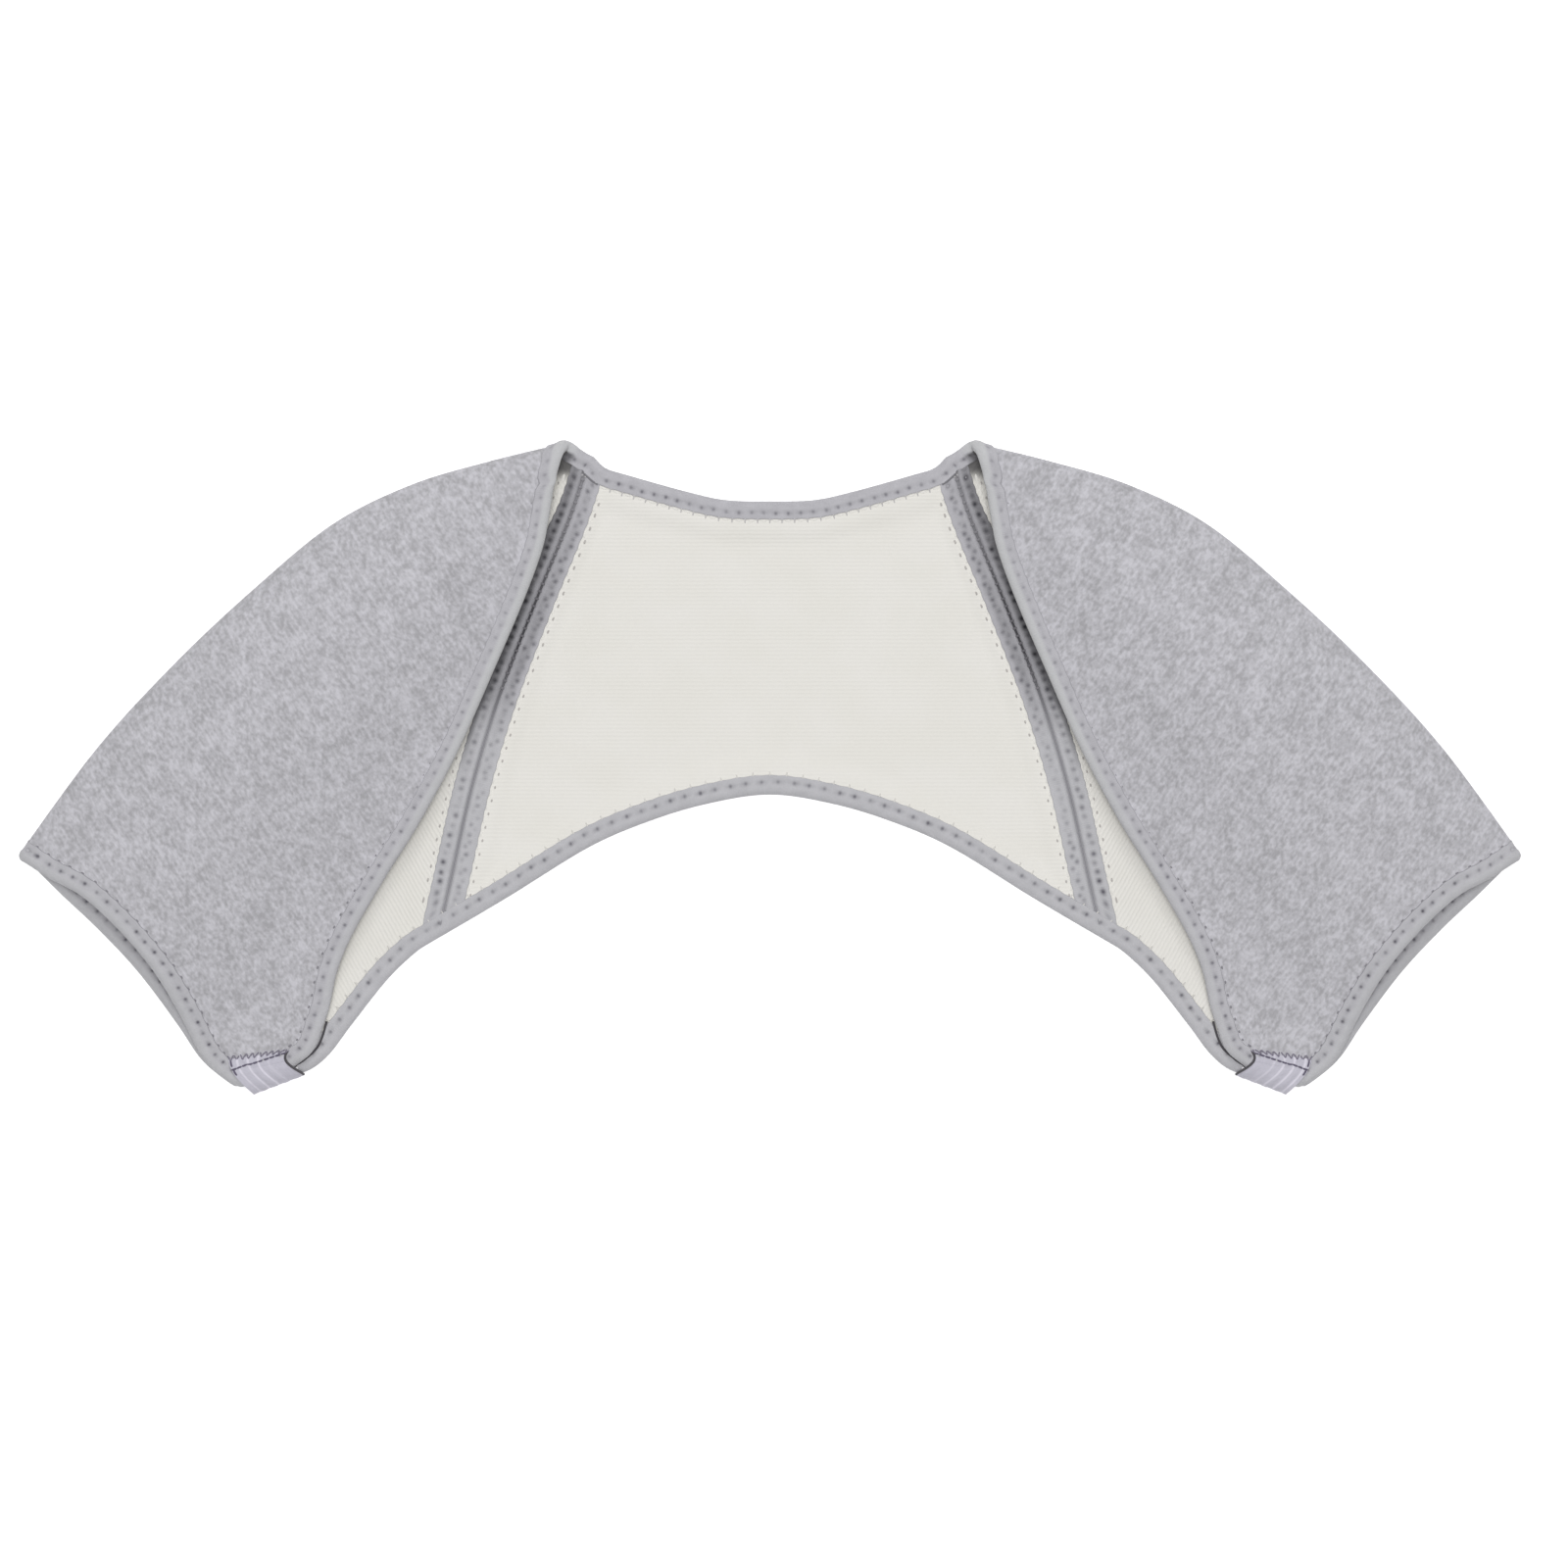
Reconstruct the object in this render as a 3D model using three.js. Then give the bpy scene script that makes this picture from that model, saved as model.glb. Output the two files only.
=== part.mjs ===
// Posture support for the shoulders and upper back, lying on the outside of its back.
//
// A back panel carries a sleeve on each side. Each sleeve is one cloth folded at its outer edge, so
// that its front layer lies over its back layer. All cloth is a knitted shell with a lining. Folded
// tape binds every edge, and an elastic band closes each sleeve under the arm.
//
// Sizes are millimetres. X runs across the shoulders, Y from the hem to the neck, and Z up from the
// surface that the support lies on. The tables give the half with positive X.

import * as THREE from "three";

// Cloth
const SHELL_THICKNESS = 1.7;
const LINING_THICKNESS = 1.0;
const FIT_GAP = 0.3;
const WALL_THICKNESS = SHELL_THICKNESS + FIT_GAP + LINING_THICKNESS;

// Binding tape, folded over the edge of the cloth
const TAPE_THICKNESS = 0.7;
const TAPE_GAP = 0.5;
const TAPE_REACH = TAPE_GAP + TAPE_THICKNESS;
const TAPE_SHOULDER = 0.55;
const NECKLINE_TAPE = 6.6;
const HEM_TAPE = 7.4;
const CUFF_TAPE = 7.6;
const SEAM_TAPE = 6.8;
const TAPE_BAND = 9.5;
const BACK_HEM_BAND = 11.5;

// Lying edges rise a little, so that the cloth and not the tape rests on the surface
const EDGE_LIFT = TAPE_REACH + 0.25;
const LIFT_END = 18;

// Elastic band under the arm
const ELASTIC_THICKNESS = 1.2;
const ELASTIC_BEND = 5;
const ELASTIC_FLOOR_GAP = 0.1;
const ELASTIC_TOP_RISE = 1.4;

// Shares of the sleeve's length and width
const SEAM_SHARE = 0.735;
const SEAM_TAPE_END = 0.688;
const TIP_SHARE = 0.15;
const TIP_FLAT = 0.24;
const CUFF_POWER = 4;
const TURN_WEIGHT = 0.55;
const LEAST_PLACES = [0.55, 0.48];
const FOLD_RUN = 10.5;
const TIP_LIFT = 1.7;

// Finished outlines, at the outside of the tape or of the fold
const NECK_LINE = [
  { x: 0, y: 113.5 },
  { x: 19, y: 114.1 },
  { x: 36, y: 117.8 },
  { x: 60.7, y: 124.7 },
  { x: 70, y: 127.7 },
  { x: 77.6, y: 133.1 },
];
const BACK_HEM_LINE = [
  { x: 0, y: -11.4 },
  { x: 27.4, y: -15.5 },
  { x: 52.4, y: -23.1 },
  { x: 77.4, y: -34 },
  { x: 110.8, y: -54.6 },
  { x: 140.9, y: -71.2 },
];
const SLEEVE_HEM_LINE = [
  { x: 140.9, y: -71.2 },
  { x: 160.8, y: -87.8 },
  { x: 177.5, y: -108.6 },
  { x: 186, y: -119.6 },
  { x: 194.2, y: -126.2 },
  { x: 200.2, y: -128.2 },
];
const SEAM_LINE = [
  { x: 77.9, y: 132.2 },
  { x: 85.4, y: 107.4 },
  { x: 99.8, y: 70.3 },
  { x: 115, y: 29.4 },
  { x: 126.4, y: -7.3 },
  { x: 135.2, y: -47.3 },
  { x: 140.4, y: -70 },
];
const FOLD_LINE = [
  { x: 88.6, y: 137.8 },
  { x: 119, y: 130.4 },
  { x: 152.5, y: 120.3 },
  { x: 185.8, y: 103.6 },
  { x: 219.2, y: 76.1 },
  { x: 252.5, y: 44.8 },
  { x: 285.9, y: 8.5 },
  { x: 318.6, y: -35.8 },
];
const FRONT_LINE = [
  { x: 91.2, y: 122.5 },
  { x: 94.4, y: 106.3 },
  { x: 97.4, y: 92.4 },
  { x: 104.6, y: 70.7 },
  { x: 117.6, y: 41.5 },
  { x: 132.8, y: 7 },
  { x: 148, y: -23.6 },
  { x: 162.4, y: -46.6 },
  { x: 176, y: -70 },
  { x: 183.2, y: -86.5 },
  { x: 189.2, y: -107 },
  { x: 203.3, y: -127.6 },
];
const CUFF_FRONT_LINE = [
  { x: 319.5, y: -36.5 },
  { x: 306.5, y: -46.4 },
  { x: 291.5, y: -54.8 },
  { x: 275.5, y: -69.4 },
  { x: 262, y: -85.6 },
  { x: 251.5, y: -103.2 },
  { x: 242, y: -122.3 },
  { x: 234, y: -130.8 },
  { x: 225.5, y: -135.8 },
];
const CUFF_BACK_LINE = [
  { x: 319.5, y: -36.5 },
  { x: 302.6, y: -53.2 },
  { x: 285.9, y: -69 },
  { x: 269.2, y: -86.9 },
  { x: 252.5, y: -109 },
  { x: 241.5, y: -124.8 },
  { x: 228, y: -135.8 },
];

// Ends of the elastic band's two sides, from where it is sewn on to its lowest fold
const ELASTIC_SIDES = [
  { topX: 230, topY: -123.8, foldX: 219.6, foldY: -139 },
  { topX: 204.3, topY: -120.3, foldX: 198, foldY: -130.8 },
];

// Heights of the middle of the sleeve's wall, along the sleeve from the neck to the cuff
const SLEEVE_SECTIONS = [
  { along: 0, fold: 9.3, crown: 17, crownAt: 0.46, edge: 17 },
  { along: 0.06, fold: 9.5, crown: 17.3, crownAt: 0.24, edge: 17.2 },
  { along: 0.14, fold: 10.3, crown: 20.5, crownAt: 0.38, edge: 17.5 },
  { along: 0.3, fold: 11.5, crown: 28, crownAt: 0.46, edge: 16.5 },
  { along: 0.55, fold: 12.5, crown: 33, crownAt: 0.45, edge: 14 },
  { along: 0.8, fold: 11.5, crown: 28, crownAt: 0.42, edge: 11.6 },
  { along: 1, fold: 10, crown: 21, crownAt: 0.4, edge: 9.9 },
];

// Steps of the wall grids
const BACK_LAYER_STEPS = 6;
const FRONT_LAYER_STEPS = 8;
const UPPER_SLEEVE_STEPS = 7;
const LOWER_SLEEVE_STEPS = 3;
const BACK_PANEL_STEPS = 12;
const BACK_PANEL_ROWS = 4;
const ELASTIC_BEND_STEPS = 4;

const MATERIALS = {
  knit: new THREE.MeshStandardMaterial({ color: 0xb6b5ba, roughness: 0.95 }),
  lining: new THREE.MeshStandardMaterial({ color: 0xe2e0db, roughness: 1 }),
  tape: new THREE.MeshStandardMaterial({ color: 0xb2b1b6, roughness: 0.9 }),
  elastic: new THREE.MeshStandardMaterial({ color: 0xc0bec8, roughness: 0.85 }),
};

const { lerp, smoothstep } = THREE.MathUtils;

// Lines in the plan

function lineThrough(rows) {
  return new THREE.SplineCurve(rows.map(({ x, y }) => new THREE.Vector2(x, y)));
}

// A table of points with its mirror image before it, from negative to positive X
function bothHalves(rows) {
  const mirrored = rows.slice(1).reverse();
  return [...mirrored.map(({ x, y }) => ({ x: -x, y })), ...rows];
}

// Points moved to the left of the way their line runs, or to the right by a negative distance
function shifted(rows, distance) {
  const line = lineThrough(rows);
  return rows.map(({ x, y }, index) => {
    const heading = line.getTangent(index / (rows.length - 1));
    return { x: x - heading.y * distance, y: y + heading.x * distance };
  });
}

// An edge of the back panel, from its corner at negative X to the one given
function backEdge(rows, inset, { x, y }) {
  const inner = shifted(bothHalves(rows), inset).slice(1, -1);
  return lineThrough([{ x: -x, y }, ...inner, { x, y }]);
}

const seamInset = TAPE_REACH + FIT_GAP / 2;
const sleeveSeamRows = shifted(SEAM_LINE, seamInset);
const sleeveHemRows = shifted(SLEEVE_HEM_LINE, TAPE_REACH).slice(1);
const foldEdge = lineThrough(shifted(FOLD_LINE, -WALL_THICKNESS / 2));
const frontEdge = lineThrough(shifted(FRONT_LINE, TAPE_REACH));
const sleeveSeamEdge = lineThrough(sleeveSeamRows);
const sleeveHemEdge = lineThrough([sleeveSeamRows.at(-1), ...sleeveHemRows]);
const backSeamRows = shifted(SEAM_LINE, -seamInset);
const backSeamEdge = lineThrough(backSeamRows);
const neckEdge = backEdge(NECK_LINE, -TAPE_REACH, backSeamRows.at(0));
const hemEdge = backEdge(BACK_HEM_LINE, TAPE_REACH, backSeamRows.at(-1));
const foldLength = foldEdge.getLength();
const cuffCorner = foldEdge.getPointAt(1);

function cuffLine(rows) {
  return lineThrough([cuffCorner, ...shifted(rows, -TAPE_REACH).slice(1)]);
}

// Sleeve

function sleeveBackEdgeAt(along) {
  if (along <= SEAM_SHARE) {
    return sleeveSeamEdge.getPointAt(along / SEAM_SHARE);
  }
  return sleeveHemEdge.getPointAt((along - SEAM_SHARE) / (1 - SEAM_SHARE));
}

const frontLayer = {
  edgeAt: (along) => frontEdge.getPointAt(along),
  cuff: cuffLine(CUFF_FRONT_LINE),
};
const backLayer = {
  edgeAt: sleeveBackEdgeAt,
  cuff: cuffLine(CUFF_BACK_LINE),
};

const sectionColumns = ["fold", "crown", "crownAt", "edge"];
const sectionCurve = new THREE.CubicInterpolant(
  SLEEVE_SECTIONS.map((row) => row.along),
  SLEEVE_SECTIONS.flatMap((row) => sectionColumns.map((column) => row[column])),
  sectionColumns.length,
);

function sectionAt(along) {
  const [fold, crown, crownAt, edge] = sectionCurve.evaluate(along);
  return { fold, crown, crownAt, edge };
}

function layerWidth(layer, along) {
  return foldEdge.getPointAt(along).distanceTo(layer.edgeAt(along));
}

// The cuff of one layer, from the fold round to the tip where the elastic is sewn on
function cuffPoint(layer, share) {
  const tipStart = 1 - TIP_SHARE;
  if (share <= tipStart) {
    return layer.cuff.getPointAt(share / tipStart);
  }
  return layer.cuff.getPointAt(1).lerp(layer.edgeAt(1), (share - tipStart) / TIP_SHARE);
}

function layerPlan(layer, share, along) {
  const straight = foldEdge.getPointAt(along).lerp(layer.edgeAt(along), share);
  const cuffStraight = cuffCorner.clone().lerp(layer.edgeAt(1), share);
  const bow = cuffPoint(layer, share).sub(cuffStraight);
  return straight.addScaledVector(bow, along ** CUFF_POWER);
}

// Quarter of an ellipse, upright at the fold and level where the turn ends
function turn(share, turnShare) {
  const level = 1 - Math.min(share / turnShare, 1);
  return Math.sqrt(1 - level * level);
}

function frontHeight(share, along) {
  const { fold, crown, crownAt, edge } = sectionAt(along);
  const fall = smoothstep(share, crownAt, 1 - TIP_FLAT * along ** CUFF_POWER);
  return lerp(fold, crown, turn(share, crownAt)) - (crown - edge) * fall;
}

function edgeLift(...depths) {
  return EDGE_LIFT * (1 - smoothstep(Math.min(...depths), TAPE_BAND, LIFT_END));
}

function backHeight(share, along) {
  const { fold } = sectionAt(along);
  const width = layerWidth(backLayer, along);
  const cuffDepth = (1 - along) * foldLength;
  const neckDepth = along * foldLength;
  const edge = edgeLift((1 - share) * width, cuffDepth, neckDepth);
  const tip = smoothstep(share, 0.52, 0.7) * smoothstep(along, 0.78, 0.92);
  const rest = WALL_THICKNESS / 2 + lerp(edge, EDGE_LIFT + TIP_LIFT, tip);
  return lerp(fold, rest, turn(share, FOLD_RUN / width));
}

// Shares from the edge of a layer to its fold, with lines at the tape and at the start of the tip
function sharesAcross(turnShare, width, steps) {
  const turnEnd = 1 - (1 - turnShare) * TURN_WEIGHT;
  const depths = [TAPE_BAND, Math.max(TIP_SHARE * width, LIFT_END)];
  const beside = depths.map((depth, index) => {
    const share = Math.max(1 - depth / width, 0);
    const place =
      share > turnShare
        ? 1 - (1 - share) * TURN_WEIGHT
        : (turnEnd * Math.acos(1 - share / turnShare)) / (Math.PI / 2);
    return Math.max(place, LEAST_PLACES[index]);
  });
  return [1, ...beside, ...spaced(beside.at(-1), 0, steps)].map((place) => {
    if (place > turnEnd) {
      return 1 - (1 - place) / TURN_WEIGHT;
    }
    return turnShare * (1 - Math.cos(((place / turnEnd) * Math.PI) / 2));
  });
}

function spaced(from, to, steps) {
  return Array.from({ length: steps }, (_, step) => lerp(from, to, (step + 1) / steps));
}

// Columns run from the back edge over the fold to the front edge, and each goes from neck to cuff
function sleeveSurface() {
  const band = TAPE_BAND / foldLength;
  const liftEnd = LIFT_END / foldLength;
  const rows = [
    0,
    band / 2,
    band,
    liftEnd,
    ...spaced(liftEnd, SEAM_TAPE_END, UPPER_SLEEVE_STEPS),
    SEAM_SHARE,
    ...spaced(SEAM_SHARE, 1 - liftEnd, LOWER_SLEEVE_STEPS),
    1 - band,
    1,
  ];
  const rings = rows.map((along) => {
    const backWidth = layerWidth(backLayer, along);
    const frontWidth = layerWidth(frontLayer, along);
    const backTurn = Math.min(FOLD_RUN / backWidth, 1);
    const { crownAt } = sectionAt(along);
    const back = sharesAcross(backTurn, backWidth, BACK_LAYER_STEPS);
    const front = sharesAcross(crownAt, frontWidth, FRONT_LAYER_STEPS);
    const toPoint = (layer, heightAt) => (share) => {
      const plan = layerPlan(layer, share, along);
      return new THREE.Vector3(plan.x, plan.y, heightAt(share, along));
    };
    return [
      ...back.map(toPoint(backLayer, backHeight)),
      ...front.reverse().slice(1).map(toPoint(frontLayer, frontHeight)),
    ];
  });
  const columns = rings[0].map((_, column) => rings.map((ring) => ring[column]));
  return { points: columns, rows };
}

// Back panel, with columns from negative to positive X that each go from neck to hem
function backSurface() {
  const seamPoint = (side, down) => {
    const point = backSeamEdge.getPointAt(down);
    return new THREE.Vector2(point.x * side, point.y);
  };
  const halfWidth = seamPoint(1, 0.5).x;
  const besideSeam = [1 - TAPE_BAND / halfWidth, 1 - LIFT_END / halfWidth];
  const inner = spaced(-besideSeam[1], besideSeam[1], BACK_PANEL_STEPS);
  const across = [-1, -besideSeam[0], -besideSeam[1], ...inner, besideSeam[0], 1];
  const points = across.map((side) => {
    const share = (side + 1) / 2;
    const neck = neckEdge.getPointAt(share);
    const hem = hemEdge.getPointAt(share);
    const height = neck.distanceTo(hem);
    const band = TAPE_BAND / height;
    const hemBand = BACK_HEM_BAND / height;
    const liftEnd = LIFT_END / height;
    const middle = spaced(liftEnd, 1 - liftEnd, BACK_PANEL_ROWS);
    return [0, band, liftEnd, ...middle, 1 - hemBand, 1].map((down) => {
      const level = neck.clone().lerp(hem, down);
      const sides = seamPoint(-1, down).lerp(seamPoint(1, down), share);
      const topCorners = seamPoint(-1, 0).lerp(seamPoint(1, 0), share);
      const lowCorners = seamPoint(-1, 1).lerp(seamPoint(1, 1), share);
      const plan = level.add(sides).sub(topCorners.lerp(lowCorners, down));
      const lift = edgeLift((1 - Math.abs(side)) * halfWidth, down * height, (1 - down) * height);
      return new THREE.Vector3(plan.x, plan.y, WALL_THICKNESS / 2 + lift);
    });
  });
  return { points };
}

// Solids

function quadNormal(a, b, c, d) {
  return new THREE.Vector3().crossVectors(c.clone().sub(a), d.clone().sub(b));
}

// Outward directions at the points of a grid, each the mean of the faces around it
function addNormals(surface) {
  const { points } = surface;
  surface.normals = points.map((column) => column.map(() => new THREE.Vector3()));
  for (let i = 0; i + 1 < points.length; i++) {
    for (let j = 0; j + 1 < points[i].length; j++) {
      const corners = [[i, j], [i + 1, j], [i + 1, j + 1], [i, j + 1]];
      const normal = quadNormal(...corners.map(([a, b]) => points[a][b])).normalize();
      corners.forEach(([a, b]) => surface.normals[a][b].add(normal));
    }
  }
  surface.normals.flat().forEach((normal) => normal.normalize());
  return surface;
}

function solidFrom(points, triangles) {
  const geometry = new THREE.BufferGeometry().setFromPoints(points);
  geometry.setIndex(triangles.flat());
  geometry.computeVertexNormals();
  return geometry;
}

// Two triangles of a quad, parted along the shorter diagonal of the places given for its corners
function quad([a, b, c, d], places) {
  const [pa, pb, pc, pd] = places;
  if (pa.distanceToSquared(pc) <= pb.distanceToSquared(pd)) {
    return [a, b, c, a, c, d];
  }
  return [b, c, d, b, d, a];
}

// A wall between two distances from a grid, measured outwards
function wall({ points, normals }, low, high) {
  const columns = points.length;
  const rows = points[0].length;
  const offset = (distance) =>
    points.flatMap((column, i) =>
      column.map((point, j) => point.clone().addScaledVector(normals[i][j], distance)),
    );
  const outer = ([i, j]) => i * rows + j;
  const inner = ([i, j]) => outer([i, j]) + columns * rows;
  const middles = points.flat();
  const triangles = [];
  for (let i = 0; i + 1 < columns; i++) {
    for (let j = 0; j + 1 < rows; j++) {
      const corners = [[i, j], [i + 1, j], [i + 1, j + 1], [i, j + 1]];
      const places = corners.map((corner) => middles[outer(corner)]);
      triangles.push(quad(corners.map(outer), places));
      triangles.push(quad(corners.map(inner), places).reverse());
    }
  }
  const rim = [];
  for (let i = 0; i < columns; i++) {
    rim.push([i, 0]);
  }
  for (let j = 1; j < rows; j++) {
    rim.push([columns - 1, j]);
  }
  for (let i = columns - 2; i >= 0; i--) {
    rim.push([i, rows - 1]);
  }
  for (let j = rows - 2; j > 0; j--) {
    rim.push([0, j]);
  }
  rim.forEach((corner, index) => {
    const next = rim[(index + 1) % rim.length];
    triangles.push([inner(corner), inner(next), outer(next)]);
    triangles.push([inner(corner), outer(next), outer(corner)]);
  });
  return solidFrom([...offset(high), ...offset(low)], triangles);
}

function shell(surface) {
  return wall(surface, WALL_THICKNESS / 2 - SHELL_THICKNESS, WALL_THICKNESS / 2);
}

function lining(surface) {
  return wall(surface, -WALL_THICKNESS / 2, LINING_THICKNESS - WALL_THICKNESS / 2);
}

// Stations of an edge: a point on it, the next grid point inwards, and the outward direction.
// Slanted tape keeps to the lines of the cloth's grid there, and other tape runs square to the edge.
function station({ points, normals }, [i, j], [insideI, insideJ], slanted = false) {
  return { edge: points[i][j], inside: points[insideI][insideJ], normal: normals[i][j], slanted };
}

function mirroredStations(stations) {
  const mirror = ({ x, y, z }) => new THREE.Vector3(-x, y, z);
  return stations.map(({ edge, inside, normal, slanted }) => {
    return { edge: mirror(edge), inside: mirror(inside), normal: mirror(normal), slanted };
  });
}

// Section of folded tape: inwards from the edge of the cloth, and outwards from its middle
const tapeOuter = WALL_THICKNESS / 2 + TAPE_REACH;
const tapeInner = WALL_THICKNESS / 2 + TAPE_GAP;

function tapeSection(width) {
  return [
    { inwards: width, outwards: tapeOuter },
    { inwards: 0, outwards: tapeOuter },
    { inwards: -TAPE_REACH, outwards: tapeOuter * TAPE_SHOULDER },
    { inwards: -TAPE_REACH, outwards: -tapeOuter * TAPE_SHOULDER },
    { inwards: 0, outwards: -tapeOuter },
    { inwards: width, outwards: -tapeOuter },
    { inwards: width, outwards: -tapeInner },
    { inwards: -TAPE_GAP, outwards: -tapeInner },
    { inwards: -TAPE_GAP, outwards: tapeInner },
    { inwards: width, outwards: tapeInner },
  ];
}

const TAPE_END_FACES = [
  [0, 1, 8],
  [0, 8, 9],
  [1, 2, 8],
  [2, 3, 7],
  [2, 7, 8],
  [3, 4, 7],
  [4, 5, 6],
  [4, 6, 7],
];

function tape(stations, width) {
  const section = tapeSection(width);
  const frames = stations.map(({ edge, inside, normal, slanted }, index) => {
    const before = stations[Math.max(index - 1, 0)].edge;
    const after = stations[Math.min(index + 1, stations.length - 1)].edge;
    const heading = after.clone().sub(before).normalize();
    const slant = inside.clone().sub(edge);
    const square = slant.clone().projectOnPlane(normal).projectOnPlane(heading).normalize();
    const inwards = slanted ? slant.divideScalar(slant.dot(square)) : square;
    return { edge, normal, heading, inwards };
  });
  const { inwards, normal, heading } = frames[Math.floor(frames.length / 2)];
  if (inwards.clone().cross(normal).dot(heading) < 0) {
    frames.reverse();
  }
  const points = frames.flatMap((frame) =>
    section.map((corner) =>
      frame.edge
        .clone()
        .addScaledVector(frame.inwards, corner.inwards)
        .addScaledVector(frame.normal, corner.outwards),
    ),
  );
  const corners = section.length;
  const triangles = TAPE_END_FACES.map(([a, b, c]) => [a, c, b]);
  for (let ring = 0; ring + 1 < frames.length; ring++) {
    for (let corner = 0; corner < corners; corner++) {
      const next = (corner + 1) % corners;
      const start = ring * corners;
      const end = start + corners;
      const face = [start + corner, start + next, end + next, end + corner];
      triangles.push(quad(face, face.map((index) => points[index])));
    }
  }
  const last = (frames.length - 1) * corners;
  triangles.push(...TAPE_END_FACES.map((face) => face.map((corner) => corner + last)));
  return solidFrom(points, triangles);
}

// Elastic band, over the tip of the front layer and round under the tip of the back layer
function elastic() {
  const outerLow = ELASTIC_FLOOR_GAP;
  const innerLow = outerLow + ELASTIC_THICKNESS;
  const innerHigh = SLEEVE_SECTIONS.at(-1).edge + tapeOuter + FIT_GAP;
  const centre = (innerLow + innerHigh) / 2;
  const innerRise = innerHigh - centre;
  const profile = (length) => {
    const bendStart = length - ELASTIC_BEND - ELASTIC_THICKNESS;
    const ring = (grow) => {
      const rise = innerRise + grow;
      const reach = ELASTIC_BEND + grow;
      const bend = Array.from({ length: 2 * ELASTIC_BEND_STEPS + 1 }, (_, step) => {
        const angle = (Math.PI / 2) * (1 - step / ELASTIC_BEND_STEPS);
        return { run: bendStart + reach * Math.cos(angle), z: centre + rise * Math.sin(angle) };
      });
      const top = { run: 0, z: centre + rise + ELASTIC_TOP_RISE };
      return [top, ...bend, { run: 0, z: centre - rise }];
    };
    return [...ring(ELASTIC_THICKNESS), ...ring(0).reverse()];
  };
  const sides = ELASTIC_SIDES.map(({ topX, topY, foldX, foldY }) => {
    const top = new THREE.Vector2(topX, topY);
    const way = new THREE.Vector2(foldX, foldY).sub(top);
    const length = way.length();
    return profile(length).map(({ run, z }) => {
      const plan = top.clone().addScaledVector(way, run / length);
      return new THREE.Vector3(plan.x, plan.y, z);
    });
  });
  const points = sides.flat();
  const corners = sides[0].length;
  const split = (face) => quad(face, face.map((index) => points[index]));
  const triangles = [];
  for (let corner = 0; corner < corners; corner++) {
    const next = (corner + 1) % corners;
    triangles.push(split([corner, corner + corners, next + corners, next]));
  }
  for (let corner = 0; corner + 1 < corners / 2; corner++) {
    const opposite = corners - 1 - corner;
    const strip = split([corner, corner + 1, opposite - 1, opposite]);
    triangles.push(strip);
    triangles.push(strip.map((index) => index + corners).reverse());
  }
  return solidFrom(points, triangles);
}

// Edges and their tapes
const sleeve = addNormals(sleeveSurface());
const back = addNormals(backSurface());
const lastColumn = sleeve.points.length - 1;
const lastRow = sleeve.rows.length - 1;
const lastBackColumn = back.points.length - 1;
const lastBackRow = back.points[0].length - 1;
const seamRow = sleeve.rows.indexOf(SEAM_SHARE);
const bandRow = 2;
const tipColumn = 2;
const foldColumn = tipColumn + BACK_LAYER_STEPS;

const frontStations = sleeve.rows.map((_, j) => {
  return station(sleeve, [lastColumn, j], [lastColumn - 1, Math.max(j, 1)]);
});
const foldStart = station(sleeve, [foldColumn, 0], [foldColumn, 1]);
const foldStep = foldStart.inside.clone().sub(foldStart.edge);
const peakStations = sleeve.points.slice(0, -1).map((_, i) => {
  const each = station(sleeve, [i, 0], [i, 1], true);
  return i <= foldColumn ? each : { ...each, inside: each.edge.clone().add(foldStep) };
});
const neckStations = back.points.map((_, i) => station(back, [i, 0], [i, 1]));
const rightNeckStations = [...peakStations, ...frontStations];
const necklineStations = [
  ...mirroredStations(rightNeckStations).reverse(),
  ...neckStations,
  ...rightNeckStations,
];

const sleeveHemStations = sleeve.rows.map((_, j) => station(sleeve, [0, j], [1, j])).slice(seamRow);
const hemStations = [
  ...mirroredStations(sleeveHemStations).reverse(),
  ...back.points.map((_, i) => station(back, [i, lastBackRow], [i, lastBackRow - 1])),
  ...sleeveHemStations,
];

const sleeveSeamStations = sleeve.rows
  .map((_, j) => station(sleeve, [0, j], [1, j], true))
  .slice(bandRow, seamRow);
const backSeamStations = back.points[lastBackColumn]
  .map((_, j) => station(back, [lastBackColumn, j], [lastBackColumn - 1, j], true))
  .slice(1, lastBackRow);

const cuffStations = sleeve.points
  .map((_, i) => station(sleeve, [i, lastRow], [i, lastRow - 1]))
  .slice(tipColumn, -tipColumn);

// Assembly

const halfPieces = [
  { name: "sleeve", suffix: "", geometry: shell(sleeve), material: MATERIALS.knit },
  { name: "sleeve", suffix: "_lining", geometry: lining(sleeve), material: MATERIALS.lining },
  { name: "cuff_binding", suffix: "", geometry: tape(cuffStations, CUFF_TAPE), material: MATERIALS.tape },
  {
    name: "sleeve_seam_binding",
    suffix: "",
    geometry: tape(sleeveSeamStations, SEAM_TAPE),
    material: MATERIALS.tape,
  },
  {
    name: "back_seam_binding",
    suffix: "",
    geometry: tape(backSeamStations, SEAM_TAPE),
    material: MATERIALS.tape,
  },
  { name: "underarm_elastic", suffix: "", geometry: elastic(), material: MATERIALS.elastic },
];
const wholePieces = [
  { name: "back_panel", geometry: shell(back), material: MATERIALS.knit },
  { name: "back_lining", geometry: lining(back), material: MATERIALS.lining },
  { name: "neckline_binding", geometry: tape(necklineStations, NECKLINE_TAPE), material: MATERIALS.tape },
  { name: "hem_binding", geometry: tape(hemStations, HEM_TAPE), material: MATERIALS.tape },
];

function piece(name, { geometry, material }) {
  const mesh = new THREE.Mesh(geometry, material);
  mesh.name = name;
  return mesh;
}

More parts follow.
